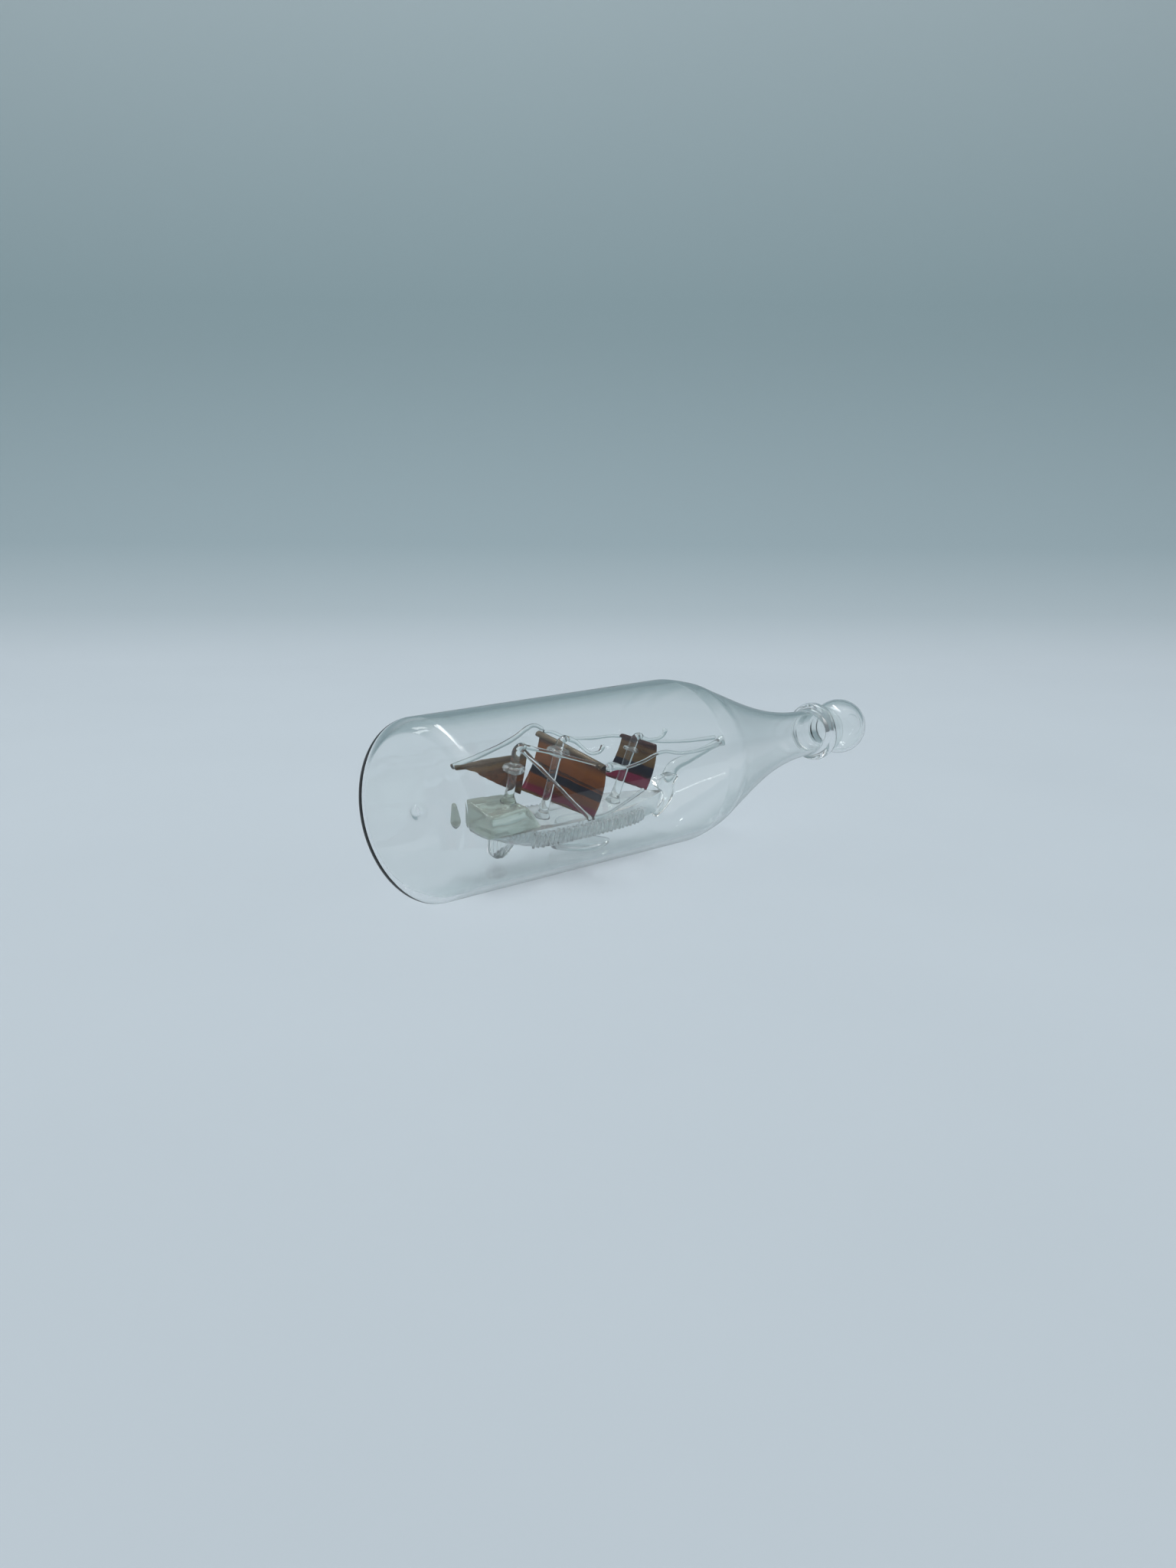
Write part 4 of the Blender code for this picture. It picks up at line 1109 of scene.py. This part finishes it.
    def build_spar(self) -> None:
        """Draw the bow spar out of the blade, with a bead at its tip."""
        root, eye = self.spar_root(), self.eye_centre()
        foot = root + Vector((-0.6 * MM, 0.0, -0.9 * MM))
        elbow = root + Vector((1.4 * self.spar, 0.0, 1.8 * self.spar))
        along = (eye - elbow).normalized()
        route = [(foot, 1.5 * self.spar), (root, 1.6 * self.spar), (elbow, 1.5 * self.spar),
                 (elbow.lerp(eye, 0.3), 1.2 * self.spar), (elbow.lerp(eye, 0.75), 0.9 * self.spar),
                 (eye - along * self.eye, self.spar), (eye, self.eye),
                 (eye + along * 0.4 * self.eye, 0.9 * self.eye)]
        piece = Bench.drawn("ship_bowsprit", route, 6)
        self.fuse(piece, CLEAR_GLASS, "bowsprit")

    def build_mid_foot(self) -> None:
        """Cut the leaf-shaped pad under the keel."""
        half, side, thickness = self.pad
        knots = [(-half, 0.0), (-0.55 * half, -0.78 * side), (0.0, -side), (0.6 * half, -0.7 * side),
                 (half, 0.0), (0.55 * half, 0.72 * side), (0.0, side), (-0.6 * half, 0.75 * side)]
        outline = smooth_ring([Vector((x, y, 0.0)) for x, y in knots], 5)
        piece = Bench.plate("ship_mid_foot", outline, thickness, 0.6 * MM)
        place = Matrix.Translation(self.pad_place) @ Matrix.Rotation(self.pad_turn, 4, "Z")
        Bench.settle(piece, SHIP_FRAME @ place, math.radians(50.0))
        self.dress(piece, CLEAR_GLASS, "mid_foot")

    def build_aft_foot(self) -> None:
        """Press the half-round pad under the stern into ribs."""
        Bench.clear()
        bpy.ops.mesh.primitive_grid_add(x_subdivisions=36, y_subdivisions=10, size=1.0,
                                        rotation=(math.pi / 2.0, 0.0, 0.0))
        piece = Bench.named("ship_aft_foot")
        bpy.ops.object.transform_apply(location=False, rotation=True, scale=False)
        rows = Bench.groups(piece, 2)
        columns = Bench.groups(piece, 0)
        across, thickness, rib = self.shell
        low, high = self.shell_span
        Bench.edit(piece)
        for i, column in enumerate(columns):
            Bench.pick(piece, column)
            bpy.ops.transform.translate(value=(0.0, rib if (i // 3) % 2 else -rib, 0.0))
        for i, row in enumerate(rows):
            share = i / (len(rows) - 1)
            width = across * math.sqrt(max(0.02, 1.0 - (1.0 - share) ** 2.4))
            Bench.pick(piece, row)
            bpy.ops.transform.resize(value=(width, 1.0, 0.0), center_override=(0.0, 0.0, 0.0))
            bpy.ops.transform.translate(value=(*self.shell_place, low + (high - low) * share))
        Bench.close()
        Bench.modify(piece, "SOLIDIFY", thickness=thickness, offset=0.0)
        Bench.melt(piece, 0.3 * MM, 3, 70.0)
        self.fuse(piece, CRIMPED_GLASS, "aft_foot")

    def build(self) -> None:
        """Build the hull and everything fused to it below the masts."""
        self.build_body()
        self.build_castle()
        self.build_rail(Side.NEAR, "near_rail")
        self.build_rail(Side.FAR, "far_rail")
        self.build_stem()
        self.build_spar()
        self.build_mid_foot()
        self.build_aft_foot()


@dataclass
class Mast(SubAssembly):
    """One mast with its flared foot, hooked head and ring.

    Attributes:
        name: Name of the mast.
        x: Transom to the mast's foot.
        rake: Lean forward for each unit of height.
        foot: Height of its foot.
        head: Height at which the hook starts.
        top: Height of the ring.
        ring: Outer radius of the ring.
        radius: Radius of the rod.
        hook: Radius of the hooked head.
        turn: How far the hook turns.
    """

    name: str
    x: float
    rake: float
    foot: float
    head: float
    top: float
    ring: float
    radius: float = 1.1 * MM
    hook: float = 1.5 * MM
    turn: float = math.radians(120.0)

    def at(self, height: float) -> Vector:
        """Point on the mast's centre line."""
        return Vector((self.x + self.rake * (height - self.foot), 0.0, height))

    def bent(self, turn: float) -> Vector:
        """Point on the hooked head."""
        ahead, up = 1.0 - math.cos(turn), math.sin(turn)
        return self.at(self.head) + Vector((self.hook * ahead, 0.0, self.hook * up))

    def tip(self, reach: float) -> Vector:
        """Point straight ahead of the hook's end."""
        return self.bent(self.turn) + reach * Vector((math.sin(self.turn), 0.0, math.cos(self.turn)))

    def build_rod(self) -> None:
        """Draw the mast from its flared foot to its hook."""
        flare = 1.8 * MM
        foot = self.foot - 0.3 * MM
        route = [(self.at(foot), 1.85 * self.radius), (self.at(foot + 0.35 * flare), 1.6 * self.radius),
                 (self.at(foot + flare), 1.08 * self.radius)]
        for share in (0.35, 0.6, 0.8, 1.0):
            height = foot + flare + (self.head - foot - flare) * share
            route.append((self.at(height), self.radius * (1.0 + 0.04 * math.sin(9.0 * share))))
        for share in (0.25, 0.5, 0.75, 1.0):
            route.append((self.bent(share * self.turn), self.radius * (1.0 - 0.25 * share)))
        piece = Bench.drawn(f"ship_{self.name}_mast", route, 6)
        self.fuse(piece, CLEAR_GLASS, f"{self.name}_mast")

    def build_ring(self) -> None:
        """Lay a ring of glass round the mast and let it slump a little."""
        bore = self.radius + 0.05 * MM
        thick = 0.5 * (self.ring - bore)
        Bench.clear()
        bpy.ops.mesh.primitive_torus_add(major_radius=bore + thick, minor_radius=thick, major_segments=48,
                                         minor_segments=16, rotation=(0.0, math.atan(self.rake), 0.0),
                                         location=self.at(self.top))
        piece = Bench.named(f"ship_{self.name}_top")
        Bench.uneven(piece, 1.6 * MM, 0.35 * MM)
        self.fuse(piece, RING_GLASS, f"{self.name}_top")

    def build(self) -> None:
        """Build the rod and its ring."""
        self.build_rod()
        self.build_ring()


@dataclass
class SquareSail(SubAssembly):
    """A bellied plate of amber glass hung ahead of a mast.

    Attributes:
        name: Node that the sail stands for.
        finish: Its glass.
        front: Transom to the plate at its head.
        head: Height of its head at the far edge.
        near_lift: How far its near upper corner stands above the far one.
        head_edges: Near and far edges at the head.
        foot_edges: Near and far edges at the foot.
        drops: Height of the plate at the near and the far edge.
        belly: How far its middle swells forward.
        foot_aft: How far its foot is drawn aft.
        roll: Radius that its head is rolled aft to.
        thickness: Thickness of the plate.
        columns: Divisions across.
        rows: Divisions up.
        flat: Share of the rows below the rolled head.
        turn: How far the head is rolled.
    """

    name: str
    finish: LustreGlass
    front: float
    head: float
    near_lift: float
    head_edges: tuple[float, float]
    foot_edges: tuple[float, float]
    drops: tuple[float, float]
    belly: float
    foot_aft: float
    roll: float
    thickness: float = 0.6 * MM
    columns: int = 20
    rows: int = 40
    flat: float = 0.8
    turn: float = math.radians(190.0)

    def place(self, u: float, v: float) -> Vector:
        """Point on the sail: u from the near edge to the far one, v from foot to head."""
        near = self.foot_edges[0] + (self.head_edges[0] - self.foot_edges[0]) * v
        far = self.foot_edges[1] + (self.head_edges[1] - self.foot_edges[1]) * v
        drop = self.drops[0] + (self.drops[1] - self.drops[0]) * u
        x = self.front - self.foot_aft * (1.0 - v) ** 2 + self.belly * 4.0 * v * (1.0 - v)
        z = self.head + self.near_lift * (1.0 - u) - drop * (1.0 - v)
        return Vector((x, near + (far - near) * u, z))

    def build(self) -> None:
        """Shape a grid row by row and column by column, then give it its thickness."""
        Bench.clear()
        bpy.ops.mesh.primitive_grid_add(x_subdivisions=self.columns, y_subdivisions=self.rows, size=1.0,
                                        rotation=(math.pi / 2.0, 0.0, math.pi / 2.0))
        piece = Bench.named("ship_" + self.name)
        bpy.ops.object.transform_apply(location=False, rotation=True, scale=False)
        rows = Bench.groups(piece, 2)
        columns = Bench.groups(piece, 1)
        Bench.edit(piece)
        top = 1.0 - 2.0 * self.roll / sum(self.drops)
        levels = [top * min(i / (self.flat * self.rows), 1.0) for i in range(self.rows + 1)]
        for i, row in enumerate(rows):
            Bench.pick(piece, row)
            bpy.ops.transform.translate(value=(0.0, 0.0, levels[i] - i / self.rows))
        for i, column in enumerate(columns):
            drop = self.drops[0] + (self.drops[1] - self.drops[0]) * i / self.columns
            Bench.pick(piece, column)
            bpy.ops.transform.resize(value=(1.0, 1.0, drop), center_override=(0.0, 0.0, 0.5))
            bpy.ops.transform.translate(value=(0.0, 0.0, self.near_lift * (1.0 - i / self.columns)))
        for i, row in enumerate(rows):
            near, far = self.place(0.0, levels[i]), self.place(1.0, levels[i])
            middle = 0.5 * (near.y + far.y)
            turn = self.turn * max(0.0, (i / self.rows - self.flat) / (1.0 - self.flat))
            lean, rise = self.roll * (1.0 - math.cos(turn)), self.roll * math.sin(turn)
            Bench.pick(piece, row)
            bpy.ops.transform.resize(value=(1.0, far.y - near.y, 1.0), center_override=(0.0, 0.0, 0.0))
            bpy.ops.transform.translate(value=(near.x - lean, middle, self.head - 0.5 + rise))
        Bench.close()
        Bench.modify(piece, "SOLIDIFY", thickness=self.thickness, offset=0.0)
        Bench.melt(piece, 0.22 * MM, 3, 60.0)
        self.fuse(piece, self.finish, self.name, crease=60.0)


@dataclass
class MizzenSail(SubAssembly):
    """The three-cornered plate behind the after mast, drawn out to a thick tip.

    Attributes:
        y: How far it stands to the far side.
        tip: Place of its tip, forward and up.
        fore: Transom to its fore edge.
        throat: Height of its upper fore corner.
        tack: Height of its lower fore corner.
        thickness: Thickness of the plate.
    """

    y: float = 3.4 * MM
    tip: tuple[float, float] = (-6.5 * MM, 7.42 * MM)
    fore: float = 17.2 * MM
    throat: float = 8.2 * MM
    tack: float = -2.9 * MM
    thickness: float = 0.6 * MM

    def build(self) -> None:
        """Cut the sail from its outline."""
        x, z = self.tip
        knots = [(x, z + 0.1 * MM), (x + 0.2 * MM, z - 0.6 * MM), (x + 3.4 * MM, z - 0.7 * MM),
                 (x + 8.8 * MM, 4.5 * MM), (self.fore, self.tack),
                 (self.fore + 0.1 * MM, 0.5 * (self.tack + self.throat)), (self.fore, self.throat),
                 (x + 8.8 * MM, 8.6 * MM), (x + 3.4 * MM, z + 0.65 * MM), (x + 0.2 * MM, z + 0.6 * MM)]
        outline = [Vector((px, self.y, pz)) for px, pz in knots]
        piece = Bench.plate("ship_mizzen_sail", outline, self.thickness, 0.22 * MM)
        self.fuse(piece, AFTER_GLASS, "mizzen_sail", crease=60.0)


@dataclass
class Rigging(SubAssembly):
    """The drawn threads and streamers.

    Attributes:
        hull: Hull that the threads run to.
        mizzen: After mast.
        main: Middle mast.
        fore: Forward mast.
        main_sail: Large sail.
        fore_sail: Small sail.
        sail_tip: Tip of the three-cornered sail.
        thread: Radius of a thread.
        stay: Radius of the thick stay.
        bead: Radius of the bead at the large sail's near corner.
    """

    hull: Hull
    mizzen: Mast
    main: Mast
    fore: Mast
    main_sail: SquareSail
    fore_sail: SquareSail
    sail_tip: Vector
    thread: float = 0.45 * MM
    stay: float = 0.65 * MM
    bead: float = 1.2 * MM

    def corner(self, sail: SquareSail, far: bool, top: bool, ahead: bool) -> Vector:
        """Where a thread ends at a sail's corner, behind the plate or ahead of it."""
        reach = 0.5 * sail.thickness + 0.8 * self.thread
        inward = -self.thread if far else self.thread
        return sail.place(float(far), float(top)) + Vector((reach if ahead else -reach, inward, 0.0))

    @staticmethod
    def hung(start: Vector, end: Vector, lifts: Sequence[tuple[float, float]]) -> list[Vector]:
        """Points from start to end, each a share of the way with its lift."""
        return [start.lerp(end, share) + Vector((0.0, 0.0, lift)) for share, lift in lifts]

    def lay(self, node: str, route: Route) -> None:
        """Draw one thread and dress it.

        Args:
            node: Node that the thread stands for.
            route: Its places with radii.
        """
        piece = Bench.drawn("ship_" + node, route)
        self.fuse(piece, CLEAR_GLASS, node)

    def build_far_stay(self) -> None:
        """The thick stay from the after sail's tip to the large sail's far corner."""
        start = self.sail_tip + Vector((-0.5 * MM, 0.0, 0.4 * MM))
        end = self.main_sail.place(1.0, 1.0) + Vector((0.0, -self.thread, 0.75 * MM))
        lift = 2.1 * MM
        shape = ((0.0, 0.0), (0.3, 0.05 * lift), (0.57, 0.2 * lift), (0.69, 0.45 * lift), (0.79, 0.9 * lift),
                 (0.88, lift), (1.0, 0.0))
        radii = (1.15, 1.0, 1.0, 1.0, 1.0, 0.9, 0.75)
        places = self.hung(start, end, shape)
        self.lay("far_stay", [(p, self.stay * r) for p, r in zip(places, radii)])

    def build_brace(self, far: bool, node: str) -> None:
        """A thread from the large sail's upper corner past the small one to the spar's bead.

        Args:
            far: Whether it runs on the far side.
            node: Node that it stands for.
        """
        outward = 1.0 if far else -1.0
        bead = self.thread if far else self.bead
        start = self.corner(self.main_sail, far, True, True)
        start += Vector((0.5 * self.main_sail.belly, 0.5 * outward * bead, -0.5 * bead))
        passing = self.fore_sail.place(float(far), 0.9) + Vector((0.0, outward * 1.9 * MM, 0.0))
        eye = self.hull.eye_centre()
        aside = outward * (self.hull.eye + 0.3 * self.thread)
        end = eye + Vector((-self.hull.eye, aside, 0.3 * self.hull.eye))
        sag = -1.2 * MM
        places = self.hung(start, passing, ((0.0, 0.0), (0.08, 0.0), (0.3, sag), (0.6, sag), (1.0, 0.0)))
        places += self.hung(passing, end, ((0.3, sag), (0.7, sag), (1.0, 0.0)))
        radii = [bead, 0.9 * bead] + [self.thread] * (len(places) - 3) + [1.4 * self.thread]
        self.lay(node, list(zip(places, radii)))

    def build_near_threads(self) -> None:
        """The threads of the near side, from the after mast and between the sails' feet."""
        start = self.mizzen.tip(-0.2 * MM)
        end = self.corner(self.main_sail, False, True, False)
        places = self.hung(start, end, ((0.0, 0.0), (0.3, 0.1 * MM), (0.7, 0.0), (1.0, 0.0)))
        radii = (1.5, 1.1, 1.0, 1.2)
        self.lay("near_upper_stay", [(p, self.thread * r) for p, r in zip(places, radii)])
        start = self.mizzen.bent(0.5 * self.mizzen.turn) + Vector((0.3 * MM, -1.3 * MM, -self.thread))
        end = self.corner(self.main_sail, False, False, False)
        places = self.hung(start, end, ((0.0, 0.0), (0.35, 0.0), (0.75, -0.1 * MM), (1.0, 0.0)))
        self.lay("near_sheet", [(p, self.thread * r) for p, r in zip(places, (1.6, 1.1, 1.0, 1.5))])
        start = self.corner(self.main_sail, False, False, True)
        end = self.corner(self.fore_sail, False, False, False)
        sag = -0.9 * MM
        places = self.hung(start, end, ((0.0, 0.0), (0.2, sag), (0.6, sag), (1.0, 0.0)))
        self.lay("near_lower_thread", [(p, self.thread * r) for p, r in zip(places, (1.4, 0.9, 0.8, 1.2))])

    def build_pennant(self, mast: Mast, length: float, drop: float,
                      shape: Sequence[tuple[float, float]]) -> None:
        """A streamer drawn out forward from a mast's head, ending in a drop.

        Args:
            mast: Mast that it is drawn from.
            length: Its reach forward.
            drop: How far it falls.
            shape: Shares of the reach with shares of the fall.
        """
        start = mast.tip(-0.3 * MM)
        places = [start] + [start + Vector((ahead * length, 0.0, -down * drop)) for ahead, down in shape]
        radii = [1.7, 1.3] + [1.0] * (len(places) - 4) + [1.1, 1.5]
        self.lay(f"{mast.name}_pennant", [(p, self.thread * r) for p, r in zip(places, radii)])

    def build(self) -> None:
        """Lay every thread."""
        self.build_far_stay()
        self.build_brace(False, "near_brace")
        self.build_brace(True, "far_brace")
        self.build_near_threads()
        self.build_pennant(self.main, 14.1 * MM, 5.5 * MM, (
            (0.24, 0.22), (0.48, 0.62), (0.70, 0.95), (0.86, 1.0), (0.97, 0.91), (1.0, 0.73)))
        self.build_pennant(self.fore, 9.9 * MM, 1.8 * MM, (
            (0.24, 0.72), (0.55, 1.0), (0.83, 0.94), (0.97, 0.5), (1.0, -0.1)))


@dataclass
class Studio:
    """Floor, backdrop, lights and camera.

    Attributes:
        camera: Place of the camera.
        target: Point that it looks at.
        roll: Turn about its line of sight.
        lens: Its focal length in millimetres.
        behind: Distance from the camera to the backdrop.
        cove: Radius of the curve between the floor and the backdrop.
        width: Width of the floor.
    """

    camera: Vector = field(default_factory=lambda: Vector((-0.32887, -0.28616, 0.10628)))
    target: Vector = field(default_factory=lambda: Vector((-0.03166, -0.00198, 0.02078)))
    roll: float = 0.0046
    lens: float = 38.03
    behind: float = 0.95
    cove: float = 0.16
    width: float = 4.0

    def build_sweep(self) -> None:
        """Extrude the floor back from the front and up into the backdrop."""
        ahead = self.target - self.camera
        heading = math.atan2(ahead.y, ahead.x)
        foot = self.behind - self.cove
        section = [Vector((-1.6, 0.0, 0.0)), Vector((-0.5, 0.0, 0.0)), Vector((0.5 * foot, 0.0, 0.0))]
        for i in range(13):
            angle = math.radians(90.0 * i / 12)
            back, up = math.sin(angle), 1.0 - math.cos(angle)
            section.append(Vector((foot + self.cove * back, 0.0, self.cove * up)))
        section.append(Vector((self.behind, 0.0, 1.6)))
        piece = Bench.point("floor", section[0] - Vector((0.0, 0.5 * self.width, 0.0)))
        bpy.ops.mesh.extrude_region_move(TRANSFORM_OT_translate={"value": (0.0, self.width, 0.0)})
        bpy.ops.mesh.select_all(action="SELECT")
        Bench.extrude_through(section)
        Bench.close()
        ground = Vector((self.camera.x, self.camera.y, -0.00002))
        Bench.settle(piece, Matrix.Translation(ground) @ Matrix.Rotation(heading, 4, "Z"))
        piece.data.materials.append(PALE_SWEEP.make())

    def build_world(self) -> None:
        """Soft light from all round, brightest overhead."""
        world = bpy.data.worlds.new("studio")
        bpy.context.scene.world = world
        tree = Tree(world)
        direction = tree.node("ShaderNodeTexCoord", output="Generated")
        up = tree.node("ShaderNodeSeparateXYZ", inputs={0: direction}, output="Z")
        colour = tree.node("ShaderNodeValToRGB", {"stops": (
            (0.0, (0.16, 0.19, 0.21)), (0.45, (0.20, 0.23, 0.25)), (0.75, (0.60, 0.63, 0.65)),
            (1.0, (0.95, 0.95, 0.95)))}, {"Fac": up})
        back = tree.node("ShaderNodeBackground", inputs={"Color": colour, "Strength": 1.0})
        tree.node("ShaderNodeOutputWorld", inputs={"Surface": back})

    def add_lamp(self, name: str, place: Vector, size: tuple[float, float], power: float) -> None:
        """Hang one soft lamp that faces the target.

        Args:
            name: Name of the lamp.
            place: Where it hangs.
            size: Its width and height.
            power: Its power in watts.
        """
        data = bpy.data.lights.new(name, "AREA")
        data.shape = "RECTANGLE"
        data.size, data.size_y = size
        data.energy = power
        lamp = bpy.data.objects.new(name, data)
        lamp.location = place
        lamp.rotation_mode = "QUATERNION"
        lamp.rotation_quaternion = (self.target - place).to_track_quat("-Z", "Y")
        bpy.context.scene.collection.objects.link(lamp)

    def hang_lamps(self) -> None:
        """Hang a pair of tubes overhead, a strip at the left and a bar of small lamps high at the right."""
        overhead, apart = Vector((0.05, 0.15, 0.9)), Vector((0.07, 0.07, 0.0))
        tube_size, tube_power = (0.05, 0.7), 2.5
        for i, shift in enumerate((-apart, apart)):
            self.add_lamp(f"tube_{i}", overhead + shift, tube_size, tube_power)
        left, rise = Vector((-0.69, 0.72, 0.0)), Vector((0.0, 0.0, 0.4))
        strip_size, strip_power = (0.06, 0.5), 0.5
        self.add_lamp("left_strip", self.target + 0.8 * left + rise, strip_size, strip_power)
        middle, along = self.target + Vector((0.29, -0.24, 0.93)), Vector((0.72, 0.69, 0.0))
        count, pitch, bulb_size, bulb_power = 9, 0.032, (0.022, 0.012), 0.08
        for i in range(count):
            place = middle + pitch * (i - count // 2) * along
            self.add_lamp(f"bar_lamp_{i}", place, bulb_size, bulb_power)

    def build_camera(self) -> None:
        """Stand the camera at the photograph's angle."""
        data = bpy.data.cameras.new("camera")
        data.lens = self.lens
        data.sensor_width = 36.0
        data.clip_start = 0.01
        camera = bpy.data.objects.new("camera", data)
        camera.location = self.camera
        camera.rotation_mode = "QUATERNION"
        level = (self.target - self.camera).to_track_quat("-Z", "Y")
        camera.rotation_quaternion = level @ Quaternion((0.0, 0.0, 1.0), self.roll)
        bpy.context.scene.collection.objects.link(camera)
        bpy.context.scene.camera = camera

    def build(self) -> None:
        """Set the whole studio."""
        scene = bpy.context.scene
        scene.view_settings.view_transform = "Standard"
        scene.cycles.max_bounces = 64
        scene.cycles.transmission_bounces = 64
        scene.cycles.glossy_bounces = 8
        scene.cycles.caustics_reflective = False
        scene.cycles.transparent_max_bounces = 16
        self.build_sweep()
        self.build_world()
        self.hang_lamps()
        self.build_camera()


def write_sizes() -> None:
    """Update the view layer so that every piece's placement is current."""
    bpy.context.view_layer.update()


def main() -> None:
    """Build the bottle, its stopper, the ship and the studio."""
    logging.basicConfig(level=logging.INFO, format="%(name)s: %(message)s")
    Bottle().build()
    Stopper().build()
    hull = Hull()
    hull.build()
    step = DECK + 0.3 * MM
    mizzen = Mast("mizzen", x=9.9 * MM, rake=0.0, foot=step + hull.castle_height, head=DECK + 19.0 * MM,
                  top=DECK + 15.0 * MM, ring=2.8 * MM)
    main_mast = Mast("main", x=22.9 * MM, rake=0.10, foot=step, head=DECK + 19.0 * MM,
                     top=DECK + 17.3 * MM, ring=3.0 * MM)
    fore = Mast("fore", x=48.9 * MM, rake=0.24, foot=step, head=DECK + 16.1 * MM,
                top=DECK + 14.2 * MM, ring=2.1 * MM)
    main_sail = SquareSail(
        "main_sail", AMBER_GLASS, front=main_mast.at(main_mast.top).x + 3.6 * MM, head=DECK + 18.7 * MM,
        near_lift=-0.8 * MM, head_edges=(-12.88 * MM, 10.48 * MM), foot_edges=(-13.3 * MM, 12.5 * MM),
        drops=(13.5 * MM, 16.9 * MM), belly=1.0 * MM, foot_aft=1.6 * MM, roll=0.8 * MM)
    fore_sail = SquareSail(
        "fore_sail", FORE_GLASS, front=fore.at(fore.top).x + 2.7 * MM, head=DECK + 15.8 * MM,
        near_lift=1.2 * MM, head_edges=(-5.8 * MM, 6.0 * MM), foot_edges=(-6.15 * MM, 8.55 * MM),
        drops=(12.2 * MM, 12.6 * MM), belly=0.8 * MM, foot_aft=1.2 * MM, roll=0.5 * MM)
    for piece in (mizzen, main_mast, fore, main_sail, fore_sail):
        piece.build()
    after_sail = MizzenSail()
    after_sail.build()
    tip = Vector((after_sail.tip[0], after_sail.y, after_sail.tip[1]))
    Rigging(hull, mizzen, main_mast, fore, main_sail, fore_sail, tip).build()
    Studio().build()
    write_sizes()


if __name__ == "__main__":
    main()
